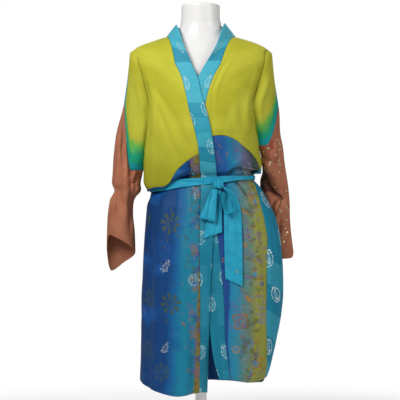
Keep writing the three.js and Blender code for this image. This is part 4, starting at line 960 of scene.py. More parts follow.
def skirt_half(side, out, row):
    """Half of the skirt's back: out is in columns from the centre back."""
    turn = 1 - 0.5 * out / BACK_COLUMNS
    return body_point(side, turn, skirt_ring(row, seam_ring(side, turn)))


CREASES_ABOVE_BELT = [
    (10, 5, (66, 723), (88, 744), (118, 754), (148, 750)),
    (6, 4, (96, 721), (120, 735), (150, 741), (167, 741)),
    (-4, 5, (74, 744), (101, 768), (134, 779)),
    (3, 4, (41, 723), (49, 759), (63, 794)),
    (8, 4, (-42, 780), (-32, 751), (-14, 724)),
    (6, 4, (-92, 712), (-60, 722), (-28, 727)),
    (-4, 4, (-84, 722), (-50, 738), (-26, 749)),
    (5, 3.5, (-66, 760), (-48, 742), (-22, 728)),
]
CREASES_SKIRT_RIGHT = [
    (5.4, 11, (-137, 650), (-145, 499), (-150, 335), (-153, 149)),
    (4.1, 9, (-79, 691), (-87, 595), (-85, 494)),
    (-4.1, 10, (-109, 663), (-118, 472), (-120, 281)),
    (5.4, 8, (-104, 267), (-98, 199), (-93, 122)),
    (5.4, 9, (-60, 308), (-52, 212), (-49, 125)),
    (-4.1, 9, (-77, 335), (-74, 226), (-71, 130)),
    (4.1, 4, (-41, 699), (-44, 650), (-41, 595)),
    (4.1, 4, (-68, 696), (-71, 655), (-77, 609)),
    (4.1, 4.5, (-112, 688), (-115, 647), (-120, 603)),
    (3.4, 4, (-25, 696), (-22, 636), (-25, 568)),
    (4.1, 7, (-30, 499), (-36, 390), (-38, 253)),
]
CREASES_SKIRT_LEFT = [
    (12.2, 3.6, (90, 721), (107, 703), (120, 688), (134, 666)),
    (-5.4, 4, (107, 718), (123, 699), (137, 677)),
    (4.1, 4, (74, 701), (77, 663), (82, 603)),
    (4.1, 8, (107, 636), (115, 527), (115, 417)),
    (5.4, 8, (85, 417), (87, 308), (90, 160)),
    (-4.1, 9, (126, 417), (128, 281), (131, 160)),
    (4.7, 9, (150, 390), (153, 267), (153, 160)),
    (4.1, 8, (156, 663), (167, 554), (172, 417)),
]
CREASES_PANEL = [
    (4.1, 9, (194, 622), (205, 499), (205, 363)),
    (-4.1, 10, (213, 568), (224, 445), (221, 308)),
    (4.1, 8, (191, 308), (186, 226), (178, 160)),
]
CREASES_SKIRT_BACK = [
    (5, 9, (-128, 690), (-132, 560), (-140, 380), (-146, 180)),
    (4, 8, (-92, 690), (-96, 560), (-92, 420)),
    (-4, 9, (-60, 660), (-66, 480), (-64, 300), (-70, 170)),
    (5, 9, (-20, 680), (-24, 500), (-14, 300), (-18, 160)),
    (4, 8, (22, 690), (26, 560), (20, 430)),
    (-4, 9, (66, 640), (72, 480), (80, 300), (76, 170)),
    (5, 9, (110, 690), (122, 540), (130, 380), (126, 190)),
    (4, 7, (150, 640), (166, 480), (168, 330)),
]
SKIRT_FINE = dict(columns=5, rows=8)
SILK_THICK = 1.2


def leaf_field(x, y, wide=0.4, bend=0.3, tip=0.0):
    """0 in the middle of a leaf or paisley, which is two units long, and 1 on its outline."""
    return length((x - y * y * bend) / ((y * -tip + 1) * wide), y)


def leaf(x, y):
    """A plain slender leaf."""
    return leaf_field(x, y, 0.3, 0.35).smooth(1.15, 0.85)


def paisley(x, y):
    """A leaf-shaped motif drawn in lines: a beaded rim, an inner leaf and slanting veins."""
    field = leaf_field(x, y, 0.46, 0.18, 0.25)
    beads = (y.math("ARCTAN2", x) * 10).math("SINE").smooth(-0.9, 0.2)
    veins = (y + x.math("ABSOLUTE") * -0.7).sine(2.2).line(0, 0.3) * field.smooth(0.62, 0.5)
    inner = field.line(0.66, 0.08) * 0.8
    return (field.line(1, 0.1) * beads).math("MAXIMUM", inner).math("MAXIMUM", veins * 0.7)


def medallion(x, y):
    """An oval motif in thin lines: a scalloped rim, a leaf and slanting strokes inside."""
    out, angle = length(x * 1.5, y), y.math("ARCTAN2", x)
    rim = (out + (angle * 13).math("COSINE") * 0.07).line(0.9, 0.09)
    inner = leaf_field(x * 1.5, y, 0.45, 0.4, 0.3).line(0.6, 0.12)
    strokes = (y * 0.9 + x * 1.3).sine(2.4).line(0, 0.35) * out.smooth(0.5, 0.4)
    return rim.math("MAXIMUM", inner).math("MAXIMUM", strokes * 0.7)


def ring_flower(x, y):
    """Eight rounded petals set apart round a small ring."""
    out, angle = length(x, y), y.math("ARCTAN2", x)
    petals = (angle * 8).math("COSINE").smooth(-0.55, 0.45) * out.line(0.76, 0.36)
    return petals.math("MAXIMUM", out.line(0.3, 0.13) * 0.6)


def flower(x, y):
    """Five full petals with an open eye."""
    out, angle = length(x, y), y.math("ARCTAN2", x)
    edge = (angle * 5).math("COSINE") * 0.28 + 0.72
    return (out / edge).smooth(1.08, 0.85) * out.smooth(0.12, 0.28)


def rosette(x, y):
    """A round motif in lines, with a scalloped rim."""
    out, angle = length(x, y), y.math("ARCTAN2", x)
    rim = out + (angle * 9).math("COSINE") * 0.07
    spokes = (angle * 6).math("COSINE").smooth(0.3, 0.9) * out.line(0.5, 0.3)
    return rim.line(0.9, 0.12).math("MAXIMUM", spokes)


def box(x, y):
    """A square frame with a ring in it."""
    side = x.math("ABSOLUTE").math("MAXIMUM", y.math("ABSOLUTE"))
    return side.line(0.85, 0.17).math("MAXIMUM", length(x, y).line(0.38, 0.14))


def stem(x, y):
    """A bent twig with small slanting leaves on both sides."""
    aside = x - y * y * 0.3
    wide = aside.math("ABSOLUTE")
    leaves = (y - wide * 0.9).sine(1.7).smooth(0.25, 0.7) * wide.smooth(0.42, 0.34)
    return aside.line(0, 0.07).math("MAXIMUM", leaves * 0.85) * y.math("ABSOLUTE").smooth(1.05, 0.9)


INKS = dict(
    olive=ink(66, 82, 48), rust=ink(134, 92, 52), plum=ink(104, 82, 132), cream=ink(196, 202, 186),
    orange=ink(158, 112, 46), grey=ink(118, 124, 140), sky=ink(44, 126, 186), navy=ink(40, 66, 140),
    white=ink(206, 228, 226), red=ink(134, 30, 44), gold=ink(150, 138, 70),
)


def stamp(look, motifs):
    """Prints motifs: a mark, its place across and up, half its length, its turn, ink and weight."""
    worn = look.noise(5, 3).smooth(0.26, 0.5) * 0.7 + 0.3
    for mark, across, up, size, turn, color, weight in motifs:
        look.paint(INKS[color], mark(*look.frame(across, up, size, turn)) * worn * weight)


def scatter(look, mark, cell, size, keep, color, weight):
    """Prints one mark at uneven places, about a cell apart, of which a share is kept."""
    inputs = {"Vector": look.shaken(), "Scale": 1 / MM / cell, "Randomness": 0.8}
    spots = node(look.tree, "ShaderNodeTexVoronoi", inputs, voronoi_dimensions="2D")
    inputs = {0: look.shaken(), 1: spots.outputs["Position"]}
    local = node(look.tree, "ShaderNodeVectorMath", inputs, operation="SUBTRACT")
    places = node(look.tree, "ShaderNodeSeparateXYZ", {0: local.outputs[0]})
    chances = node(look.tree, "ShaderNodeSeparateColor", {0: spots.outputs["Color"]})
    x, y, chance, swell = (Wire(o) for o in (*places.outputs[:2], *chances.outputs[:2]))
    scale = (swell * 0.6 + 0.7) * (size * MM)
    look.paint(INKS[color], mark(x / scale, y / scale) * chance.smooth(keep, keep - 0.02) * weight)


def raw_silk(look, hem=0.78):
    """The slubby weave of raw silk, the soft wrinkles of washed cloth and the line of the hem."""
    look.rough_up(look.noise(1.6, 2, (0.25, 1, 1)), 0.22)
    look.rough_up(look.noise(16, 3), 0.9)
    look.shade(0.88, look.noise(3, 2, (0.15, 1, 1)).smooth(0.4, 0.7))
    look.shade(hem, look.own.line(10, 0.7))
    return look.done()


def smudges(look, inks_and_sizes, keep, weight):
    """Clouds of ink, where the printer's blocks ran together."""
    for color, size in inks_and_sizes:
        cloud = look.noise(size, 2, (1, 0.7, 1), 0.35).smooth(*keep)
        look.paint(INKS[color], cloud * weight * 0.5)


def drop_shade(look):
    """The shade that the belt and the blouse cast on the cloth beside them."""
    look.shade(0.7, look.down.smooth(741, 727) * look.down.smooth(706, 712))


BLUE, DEEP_BLUE = ink(12, 62, 118), ink(12, 50, 96)
TEAL, AZURE = ink(22, 118, 146), ink(30, 124, 164)
OLIVE, YELLOW, HAZE = ink(118, 112, 46), ink(140, 142, 56), ink(80, 124, 122)

look = Look("printed_silk_right", BLUE, 0.55, shine=0.15)
soft = (look.noise(60, 3) - 0.5) * 34
shift = (look.down - 390) * 0.08
across = look.across + soft + shift
look.color = look.ramp(across, [
    (0, TEAL), (52, TEAL), (72, ink(18, 92, 146)), (95, BLUE), (250, DEEP_BLUE),
])
look.paint(ink(16, 82, 152), look.noise(110, 2).smooth(0.5, 0.75) * across.smooth(60, 110))
wedge = look.ramp(look.across + soft * 0.5, [
    (0, ink(112, 104, 56)), (22, OLIVE), (32, BLUE), (60, ink(16, 80, 140)), (100, ink(26, 112, 160)),
])
look.paint(wedge, look.down.smooth(716, 722))
strip_edge = look.across + (look.down - 470) * 0.05 + soft * 0.12
strip = strip_edge.smooth(6, 1) * look.down.smooth(540, 470)
look.paint(ink(112, 106, 50), strip)
look.paint(ink(92, 66, 58), look.noise(16, 3).smooth(0.5, 0.62) * strip * 0.7)
look.paint(ink(44, 84, 78), look.noise(11, 3).smooth(0.55, 0.7) * strip * 0.6)
scatter(look, leaf, 34, 4.5, 0.55, "olive", 0.55)
scatter(look, leaf, 46, 4, 0.3, "rust", 0.45)
stamp(look, [
    (ring_flower, 84, 599, 29, 10, "olive", 0.85), (ring_flower, 84, 380, 29, -8, "olive", 0.85),
    (ring_flower, 164, 391, 24, 30, "olive", 0.7), (leaf, 172, 610, 20, 20, "olive", 0.7),
    (ring_flower, 120, 190, 24, 0, "olive", 0.6), (ring_flower, 180, 250, 24, 12, "olive", 0.5),
    (leaf, 92.8, 553, 7, 15, "olive", 0.8), (leaf, 60, 564, 7, -35, "olive", 0.8),
    (leaf, 36, 560, 9, -40, "olive", 0.75), (leaf, 48, 325, 9, -35, "rust", 0.7),
    (leaf, 100, 330, 7, 10, "olive", 0.8), (leaf, 70, 660, 6, 70, "olive", 0.6),
    (paisley, 97, 480, 18, 38, "cream", 0.85), (rosette, 17, 445, 16, 0, "cream", 0.6),
    (paisley, 106.6, 257, 17, 35, "cream", 0.85), (paisley, 12, 683, 17, -20, "cream", 0.8),
    (rosette, 19, 607, 8, 0, "plum", 0.7), (flower, 12, 521, 13, 20, "rust", 0.85),
    (ring_flower, 14, 536, 14, 0, "plum", 0.5), (box, 29, 371, 8, 12, "plum", 0.7),
    (flower, 19, 294, 15, 30, "rust", 0.7), (leaf, 12, 270, 18, 5, "plum", 0.5),
    (leaf, 40, 199, 8, 50, "rust", 0.6), (stem, 14, 215, 26, 8, "plum", 0.45),
    (paisley, 16, 752, 16, -15, "grey", 0.8), (flower, 24, 772, 9, 0, "plum", 0.7),
    (leaf, 30, 340, 7, 30, "rust", 0.6), (leaf, 26, 640, 7, -20, "rust", 0.5),
])
beside_band = look.across.smooth(44, 14)
smudges(look, (("plum", 30), ("rust", 22), ("olive", 18), ("navy", 25)), (0.55, 0.66), beside_band)
deep_fold(look, [(33, 764), (26, 746), (12, 728)], 4, 0.45)
deep_fold(look, [(58, 742), (38, 733), (16, 727)], 3, 0.6)
drop_shade(look)
printed_right = raw_silk(look)

look = Look("printed_silk_left", TEAL, 0.55, shine=0.15)
soft = (look.noise(50, 3) - 0.5) * 20
across = look.across + soft - (look.down - 390) * 0.1
look.color = look.ramp(across, [
    (12, ink(24, 68, 132)), (17, AZURE), (40, ink(44, 128, 152)), (58, HAZE), (76, ink(100, 126, 96)),
    (94, YELLOW), (130, ink(126, 130, 58)),
])
look.paint(ink(90, 98, 140), look.noise(36, 2).smooth(0.55, 0.75) * across.line(24, 22) * 0.5)
look.paint(ink(26, 70, 132), (look.across - (look.down - 180) * 0.06).smooth(3, 0) * 0.9)
# above the belt: the print's blues and a grey-purple, then dark olive green towards the side, which is
# painted shadow under the blouse's overhang
upper = look.ramp(look.across + soft, [
    (10, ink(30, 74, 138)), (52, ink(34, 92, 156)), (72, AZURE), (100, ink(66, 118, 150)),
    (125, ink(84, 96, 110)), (150, ink(50, 78, 58)), (190, ink(56, 78, 40)),
])
look.paint(upper, look.down.smooth(718, 726))
twigs = (look.down / 7).sine(1).smooth(0.75, 0.95) * across.line(80, 26)
look.paint(INKS["grey"], twigs * look.noise(30).smooth(0.4, 0.6) * 0.5)
scatter(look, leaf, 30, 3.5, 0.4, "rust", 0.5)
scatter(look, flower, 44, 4.5, 0.35, "navy", 0.5)
stamp(look, [
    (flower, 121, 658, 10, 0, "sky", 0.9), (leaf, 86, 629, 13, 60, "orange", 0.9),
    (stem, 110, 632, 20, -15, "grey", 0.8), (stem, 108, 668, 22, 8, "gold", 0.6),
    (box, 74, 570, 15, 4, "plum", 0.85), (flower, 71, 540, 11, 0, "orange", 0.85),
    (rosette, 70, 525, 13, 0, "plum", 0.7), (leaf, 68, 508, 8, 40, "orange", 0.7),
    (leaf, 68, 391, 17, 56, "orange", 0.95), (box, 44, 331, 21, 6, "rust", 0.8),
    (rosette, 44, 331, 14, 0, "plum", 0.85), (rosette, 26, 254, 11, 0, "orange", 0.85),
    (ring_flower, 62, 272, 16, 0, "sky", 0.6), (stem, 52, 283, 20, -8, "plum", 0.6),
    (leaf, 84, 272, 9, -50, "orange", 0.9), (stem, 101, 357, 34, -12, "grey", 0.85),
    (stem, 116, 330, 24, 20, "grey", 0.7), (flower, 91, 459, 9, 0, "sky", 0.9),
    (stem, 98, 440, 20, -20, "gold", 0.7), (flower, 110, 433, 8, 20, "navy", 0.9),
    (stem, 79, 210, 32, -42, "orange", 0.85), (stem, 88, 212, 30, 38, "rust", 0.8),
    (flower, 80, 214, 15, 0, "sky", 0.8), (leaf, 62, 190, 12, -40, "sky", 0.7),
    (stem, 118, 550, 24, 10, "plum", 0.7), (leaf, 104, 590, 9, -45, "rust", 0.8),
    (rosette, 118, 505, 12, 0, "plum", 0.6), (stem, 30, 365, 22, 30, "plum", 0.5),
    (ring_flower, 125, 752, 22, 0, "grey", 0.8), (flower, 112, 762, 14, 10, "plum", 0.8),
    (paisley, 140, 742, 18, 75, "cream", 0.7), (leaf, 42, 812, 9, 30, "rust", 0.5),
    (leaf, 60, 790, 9, -20, "rust", 0.5), (stem, 34, 780, 18, 12, "rust", 0.4),
    (rosette, 34, 694, 10, 0, "plum", 0.7), (flower, 12, 500, 12, 0, "rust", 0.6),
])
yellow_strip = across.line(80, 40) * look.down.smooth(790, 720)
smudges(look, (("plum", 26), ("rust", 20), ("grey", 17), ("olive", 23)), (0.57, 0.67), yellow_strip)
cloudy = look.noise(16, 3).smooth(0.46, 0.6) * look.down.smooth(722, 732) * look.across.smooth(70, 110)
look.paint(INKS["plum"], cloudy * 0.55)
pale_cloud = length(look.across - 120, look.down - 738).smooth(34, 12)
look.paint(ink(140, 150, 150), look.noise(18, 2).smooth(0.5, 0.62) * pale_cloud * 0.8)
deep_fold(look, [(84, 708), (93, 692), (104, 674)], 2.4, 0.3)
deep_fold(look, [(47, 728), (64, 738), (88, 748), (122, 747), (150, 738)], 5, 0.4)
drop_shade(look)
printed_left = raw_silk(look)

look = Look("printed_silk_back", BLUE, 0.55, shine=0.15)
soft = (look.noise(80, 3) - 0.5) * 60
look.color = look.ramp(look.across + soft, [
    (0, ink(36, 92, 70)), (60, ink(60, 110, 80)), (110, TEAL), (180, BLUE), (260, DEEP_BLUE),
    (330, BLUE), (400, TEAL), (440, OLIVE), (500, ink(30, 100, 140)), (600, BLUE),
])
scatter(look, ring_flower, 105, 26, 0.7, "olive", 0.8)
scatter(look, leaf, 36, 5, 0.5, "olive", 0.6)
scatter(look, leaf, 50, 5, 0.4, "rust", 0.5)
scatter(look, paisley, 150, 16, 0.6, "cream", 0.85)
scatter(look, flower, 80, 9, 0.4, "plum", 0.6)
printed_back = raw_silk(look)


def block_print(look, across, down, tall, split, splits_from, seed):
    """Turquoise in blocks of three tones, some of them of half the width."""
    row = (down / tall).math("FLOOR")
    half = across.math("GREATER_THAN", split) * down.math("GREATER_THAN", splits_from)
    cell = node(look.tree, "ShaderNodeCombineXYZ", {0: row, 1: half, 2: seed})
    chance = Wire(node(look.tree, "ShaderNodeTexWhiteNoise", {0: cell.outputs[0]}).outputs["Value"])
    look.paint(ink(80, 180, 196), chance.smooth(0.55, 0.6) * 0.45)
    look.paint(ink(24, 122, 150), chance.smooth(0.35, 0.3) * 0.6)
    look.shade(0.9, (down / 2.4).sine(1).smooth(0.2, 0.9) * look.noise(25).smooth(0.35, 0.6))
    look.shade(0.85, (down / tall).math("FRACT").line(0, 0.02))


look = Look("turquoise_panel", ink(20, 118, 146), 0.6, shine=0.15)
block_print(look, *look.frame(0, 0, 1, -28), 64, 55, 0, 8)
look.paint(ink(18, 116, 146), 0.4)
# painted shade: darker on the half that turns towards the back
look.shade(0.8, look.across.smooth(70, 130))
stamp(look, [
    (medallion, 29, 664, 24, 24, "white", 0.85), (medallion, 2, 503, 26, 10, "white", 0.85),
    (medallion, 31, 402, 24, 28, "white", 0.85), (medallion, 8, 257, 24, 15, "white", 0.85),
    (medallion, 62, 560, 24, 20, "white", 0.8), (medallion, 75, 320, 24, 24, "white", 0.8),
    (medallion, 88, 470, 24, 20, "white", 0.8), (medallion, 60, 200, 24, 20, "white", 0.8),
])
turquoise_panel = raw_silk(look, hem=0.8)


def skirt_grid(from_column, to_column, point_at):
    """The points of a cut of the skirt between two columns."""
    return grid(from_column, to_column, 0, SKIRT_ROWS, point_at, **SKIRT_FINE)


def add_silk(name, points, flip, slot, material, cut, held, rests_on, **look):
    """A cut of silk with a hem at its last row."""
    patches = [(points, cloth_places(points, from_hem(points)), flip)]
    add_piece(name, patches, SILK_THICK, slot, material, cut, held, rests_on, **look)


front = skirt_grid(0, FRONT_COLUMNS, lambda i, j: skirt_front("right", i, j))
add_silk("skirt_front_right", front, False, "printed_silk", printed_right, (0.26, 0.62, 0.148), "hung",
         "belt_cloth", seed=11, folds=CREASES_ABOVE_BELT + CREASES_SKIRT_RIGHT + [OVER_BELT])
front = skirt_grid(0, PANEL_SPLIT, lambda i, j: skirt_front("left", i, j))
add_silk("skirt_front_left", front, True, "printed_silk", printed_left, (0.19, 0.62, 0.094), "hung",
         "belt_cloth", seed=12, folds=CREASES_ABOVE_BELT + CREASES_SKIRT_LEFT)
before = skirt_grid(PANEL_SPLIT, FRONT_COLUMNS, lambda i, j: skirt_front("left", i, j))
after = skirt_grid(0, SIDE_PANEL_COLUMNS, lambda i, j: on_back(skirt_half, i, j))[:, 1:]
add_silk("side_panel_left", np.concatenate([before, after], 1), True, "turquoise_print", turquoise_panel,
         (0.13, 0.6, 0.074), "hung", "belt_cloth", seed=13, folds=CREASES_PANEL)
back = skirt_grid(SIDE_PANEL_COLUMNS, 2 * BACK_COLUMNS, lambda i, j: on_back(skirt_half, i, j))
add_silk("skirt_back", back, True, "printed_silk", printed_back, (0.5, 0.64, 0.297), "gathered",
         "belt_cloth", seed=14, folds=CREASES_SKIRT_BACK, faces_back=True)

# ---- the sleeves ----
# Plain terracotta silk tubes, sewn one to each dropped shoulder, wide and open at the wrist. The left
# one is folded in at the elbow under the arm and has a few red flowers.
CREASES_SLEEVE_RIGHT = [
    (11, 7, (-214, 910), (-218, 846), (-224, 762), (-235, 664), (-246, 568)),
    (13, 6, (-202, 832), (-200, 770), (-196, 720), (-195, 664), (-198, 565)),
    (-8, 8, (-208, 850), (-209, 748), (-212, 640), (-216, 580)),
    (-8, 8, (-226, 800), (-236, 700), (-248, 600)),
    (7, 5, (-179, 742), (-182, 702), (-190, 664)),
    (7, 5, (-171, 730), (-188, 711), (-204, 702)),
    (-5, 5, (-176, 752), (-192, 728), (-206, 716)),
    (8, 7, (-240, 800), (-250, 700), (-258, 600)),
]
CREASES_SLEEVE_LEFT = [
    (30, 11, (160, 742), (180, 722), (198, 694), (214, 672), (228, 664)),
    (-10, 6, (180, 764), (198, 740), (214, 708), (232, 682)),
    (16, 5, (236, 668), (213, 656), (195, 636), (183, 612)),
    (-8, 6, (172, 724), (186, 698), (200, 672)),
    (-6, 6, (238, 690), (222, 676), (200, 662)),
    (8, 6, (168, 798), (182, 776), (199, 768), (221, 770)),
    (7, 8, (224, 803), (232, 734), (240, 664)),
    (8, 8, (230, 650), (224, 592), (213, 537)),
    (-6, 8, (213, 650), (209, 592), (202, 545)),
    (6, 7, (246, 636), (246, 580), (240, 534)),
    (6, 6, (206, 640), (198, 600), (199, 560)),
]
terracotta = {}
for side in ("right", "left"):
    look = Look("terracotta_silk_" + side, ink(170, 108, 80), 0.6, shine=0.15)
    look.paint(ink(148, 90, 66), look.noise(45, 3, (1, 0.4, 1)).smooth(0.35, 0.7) * 0.8)
    look.paint(ink(176, 122, 92), look.noise(3, 2, (1, 0.2, 1)).smooth(0.55, 0.75) * 0.5)
    if side == "left":
        look.paint(ink(150, 70, 62), look.noise(12, 3).smooth(0.55, 0.75) * 0.5)
        stamp(look, [
            (ring_flower, 50, 817, 15, 10, "red", 1.0), (flower, 50, 817, 11, 0, "red", 0.9),
            (stem, 34, 802, 12, -30, "red", 0.6), (stem, 24, 700, 14, 20, "red", 0.7),
            (flower, 30, 690, 8, 0, "red", 0.7), (stem, 70, 675, 12, -40, "red", 0.6),
        ])
        # the elbow folds in under the arm; its inner side is painted dark brown with lighter mottling, a
        # painted shade for the shadow inside the fold
        above = (look.across * 1.24 + look.down - 766).smooth(3, -3)
        inner = above * (look.across * 0.46 + look.down - 703).smooth(-5, 4) * look.across.smooth(82, 74)
        look.paint(ink(54, 34, 30), inner * 0.85)
        look.paint(ink(110, 60, 46), inner * look.noise(20, 3, (1, 0.5, 1)).smooth(0.5, 0.7) * 0.6)
        deep_fold(look, [(3, 764), (40, 716), (78, 669)], 2.2, 0.35)
        deep_fold(look, [(78, 668), (58, 645), (40, 617)], 2.6, 0.4)
        deep_fold(look, [(98, 832), (92, 800), (90, 772)], 2, 0.6)
        deep_fold(look, [(6, 772), (14, 756), (24, 744)], 3, 0.4)
    else:
        # painted shade: darker towards the cuff
        look.shade(0.88, look.down.smooth(680, 600))
        deep_fold(look, [(28, 752), (30, 700), (34, 640)], 2.6, 0.6)
    look.rough_up(look.noise(1.6, 2, (0.3, 1, 1)), 0.25)
    look.rough_up(look.noise(14, 3), 0.9)
    look.shade(0.78, look.own.line(9, 0.7))
    terracotta[side] = look.done()


def sleeve_point(side, column, row):
    """Columns go from the inner fold over the front, the top fold and the back."""
    around = column / DROP_COLUMNS
    front = limb_point(side, "front", np.minimum(around, 1), 1 + row / SLEEVE_ROWS)
    back = limb_point(side, "back", np.minimum(2 - around, 1), 1 + row / SLEEVE_ROWS)
    return np.where((around <= 1)[..., None], front, back)


for side, folds, seed in (("right", CREASES_SLEEVE_RIGHT, 26), ("left", CREASES_SLEEVE_LEFT, 25)):
    tube = grid(0, 2 * DROP_COLUMNS, 0, SLEEVE_ROWS, lambda i, j: sleeve_point(side, i, j), 6, 7)
    add_silk("sleeve_" + side, tube, side == "left", "terracotta_silk", terracotta[side],
             (0.2, 0.42, 0.072), "hung", f"top_front_{side}_cloth", seed=seed, folds=folds)

# ---- the sequins on the left sleeve ----
# Small flat gilt discs, scattered down the sleeve, each caught down by one stitch. Their places are
# given on the sleeve's cloth: across from the inner fold, and height.
SEQUINS = [
    (15, 799), (9, 779), (101, 771), (80, 645), (61, 630), (60, 583), (61, 565), (108, 804),
    (40, 768), (30, 806), (72, 790), (88, 742), (66, 700), (96, 690), (74, 606), (50, 545),
    (33, 762), (21, 753), (17, 792), (105, 760), (98, 831), (117, 818), (53, 594), (12, 770),
    (27, 745), (111, 824), (104, 776), (96, 764), (66, 572), (84, 638), (57, 636), (120, 806),
]
SEQUIN_RADIUS, SEQUIN_THICK, SEQUIN_CORNERS = 2.5, 0.4, 10
SEQUIN_OFF = 0.9  # from the cloth, as they hang from the thread
look = Look("sequin_gold", ink(236, 226, 184), 0.25)
look.shader.inputs["Metallic"].default_value = 0.3
look.paint(ink(214, 196, 140), look.noise(1.5))
sequin_gold = look.done()
sleeve = CLOTH_PIECES["sleeve_left_cloth"]
discs, disc_faces = [], []
for place in SEQUINS:
    near = np.hypot(*(sleeve["cloth"][:, :2] - place).T).argmin()
    out = sleeve["out"][near]
    aside = np.cross(out, (0.3, 0.2, 1))
    aside /= np.linalg.norm(aside)
    below = np.cross(out, aside)
    turn = np.linspace(0, 2 * np.pi, SEQUIN_CORNERS, endpoint=False)[:, None]
    ring = (np.cos(turn) * aside + np.sin(turn) * below) * SEQUIN_RADIUS
    middle = sleeve["points"][near] + out * (SILK_THICK / 2 + SEQUIN_OFF)
    lower = len(discs) * SEQUIN_CORNERS + np.arange(SEQUIN_CORNERS)
    upper = lower + SEQUIN_CORNERS
    discs += [middle + ring, middle + ring + out * SEQUIN_THICK]
    disc_faces += [lower[::-1].tolist(), upper.tolist()]
    disc_faces += np.stack([lower, np.roll(lower, -1), np.roll(upper, -1), upper], 1).tolist()
sequins = new_object("sleeve_sequins", np.concatenate(discs), disc_faces)
sequins.data.materials.append(sequin_gold)
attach(sequins, "root")

# ---- the band ----
# A strip of turquoise block print, folded double along its free edge and sewn to the neck and fronts
# by the other, in two halves that meet behind the neck. It stands up behind the neck as a collar.
COLLAR_COLUMNS = "step x y z"
COLLAR_EDGE = {
    "right": table(COLLAR_COLUMNS, [
        (0, 26, -112, 1040), (1, 38, -106, 1068), (2, 50, -92, 1096), (3, 61, -60, 1134),
        (4, 69, -12, 1156), (5, 70, 30, 1156), (6, 58, 62, 1151), (7, 34, 80, 1147), (8, 0, 87, 1145),
    ]),
    "left": table(COLLAR_COLUMNS, [
        (0, 13, -109, 1040), (1, 31, -104, 1070), (2, 46, -90, 1100), (3, 58, -58, 1138),
        (4, 66, -12, 1160), (5, 68, 30, 1158), (6, 57, 62, 1152), (7, 34, 80, 1147), (8, 0, 87, 1145),
    ]),
}
COLLAR_STEPS, COLLAR_SIDE_STEP = 8, 4
BAND_THICK, BAND_FINE = 2.0, 12
BLOCK_TALL, MOTIF_STEP = 42, 152
look = Look("turquoise_band", ink(44, 148, 172), 0.6, shine=0.15)
look.paint(ink(78, 178, 198), look.down.smooth(560, 330) * 0.8)
look.paint(ink(18, 116, 142), look.down.smooth(720, 900) * 0.8)
block_print(look, look.across, look.down, BLOCK_TALL, 20, 720, 3)
look.paint(ink(18, 112, 138), look.down.smooth(560, 720) * 0.75)
broken = look.noise(4, 3).smooth(0.4, 0.56)
for edge, offset in ((1, 44), (40, -32)):
    turns = (look.down + offset) / MOTIF_STEP
    uneven = (turns.math("FLOOR") * 2.4).math("SINE")
    y = (turns.math("FRACT") - 0.5) * MOTIF_STEP + uneven * 26
    x = look.across - edge + uneven * 5 + look.noise(9) * 5 - 2.5
    look.paint(INKS["white"], medallion(x / 17, y / 20) * broken * 0.85)
look.shade(0.8, look.across.line(1.6, 0.5))
turquoise_band = raw_silk(look)


def collar_edge(side, step):
    """The free edge of the collar, joined smoothly to the free edge of the front band below it."""
    line = COLLAR_EDGE[side]
    edge = [along(line["step"], line[k], step) for k in "xyz"]
    edge = np.stack([SIGN[side] * edge[0], edge[1], edge[2]], -1)
    chest = height_at(side, 0, np.zeros(1))
    ends = front_point(side, along(BAND_LINES["z"], BAND_LINES[side + "_free"], chest), np.zeros(1))
    if side == "right":
        ends[..., 1] += along(BAND_LINES["z"], BAND_LINES["right_turn"], chest)
    start = np.array([SIGN[side] * line["x"][0], line["y"][0], line["z"][0]])
    return edge + (ends[0] - start) * ease(1 - step * 3 / 4)[..., None]


def band_point(side, across, down):
    """across goes from the seam (0) to the free edge (1), down from the shoulder seam to the hem."""
    across, down = np.broadcast_arrays(np.asarray(across, float), np.asarray(down, float))
    behind = np.clip(-down, 0, NECK_COLUMNS)
    shoulder = np.clip(down, 0, SHOULDER_ROWS)
    sewn = np.where((down <= 0)[..., None], back_half(side, NECK_COLUMNS - behind, 0 * behind),
                    front_top(side, 0, shoulder))
    step = np.where(
        down <= 0,
        mix(COLLAR_SIDE_STEP, COLLAR_STEPS, behind / NECK_COLUMNS),
        mix(COLLAR_SIDE_STEP, 0, shoulder / SHOULDER_ROWS),
    )
    collar = mix(sewn, collar_edge(side, step), across[..., None])
    seam = seam_ring(side, np.zeros(down.shape))
    ring = np.where(
        down <= TOP_ROWS,
        top_ring(np.clip(down, SHOULDER_ROWS, TOP_ROWS), seam, armpit_share(side)),
        skirt_ring(np.clip(down - TOP_ROWS, 0, SKIRT_ROWS), seam),
    )
    z = height_at(side, 0 * ring, ring)
    x = mix(seam_x(side, ring), along(BAND_LINES["z"], BAND_LINES[side + "_free"], z), across)
    front = front_point(side, x, ring)
    if side == "right":
        front[..., 1] += along(BAND_LINES["z"], BAND_LINES["right_turn"], z) * across**1.5
    return np.where((down < SHOULDER_ROWS)[..., None], collar, front)


for side in ("right", "left"):
    points = grid(0, 1, -NECK_COLUMNS, TOP_ROWS + SKIRT_ROWS, lambda i, j: band_point(side, i, j),
                  columns=BAND_FINE, rows=8)
    lengths = np.linalg.norm(np.diff(points[:, BAND_FINE // 2], axis=0), axis=1)
    run_down = np.concatenate([[0], np.cumsum(lengths)])
    across = run_across(points)
    cloth = np.stack([across, run_down[:, None] + 0 * across, 0 * across], -1)
    add_piece("band_" + side, [(points, cloth, side == "right")], BAND_THICK, "turquoise_print",
              turquoise_band, (0.045, 1.12, 0.05), "draped", f"top_front_{side}_cloth",
              wave=0.4, seed=31)

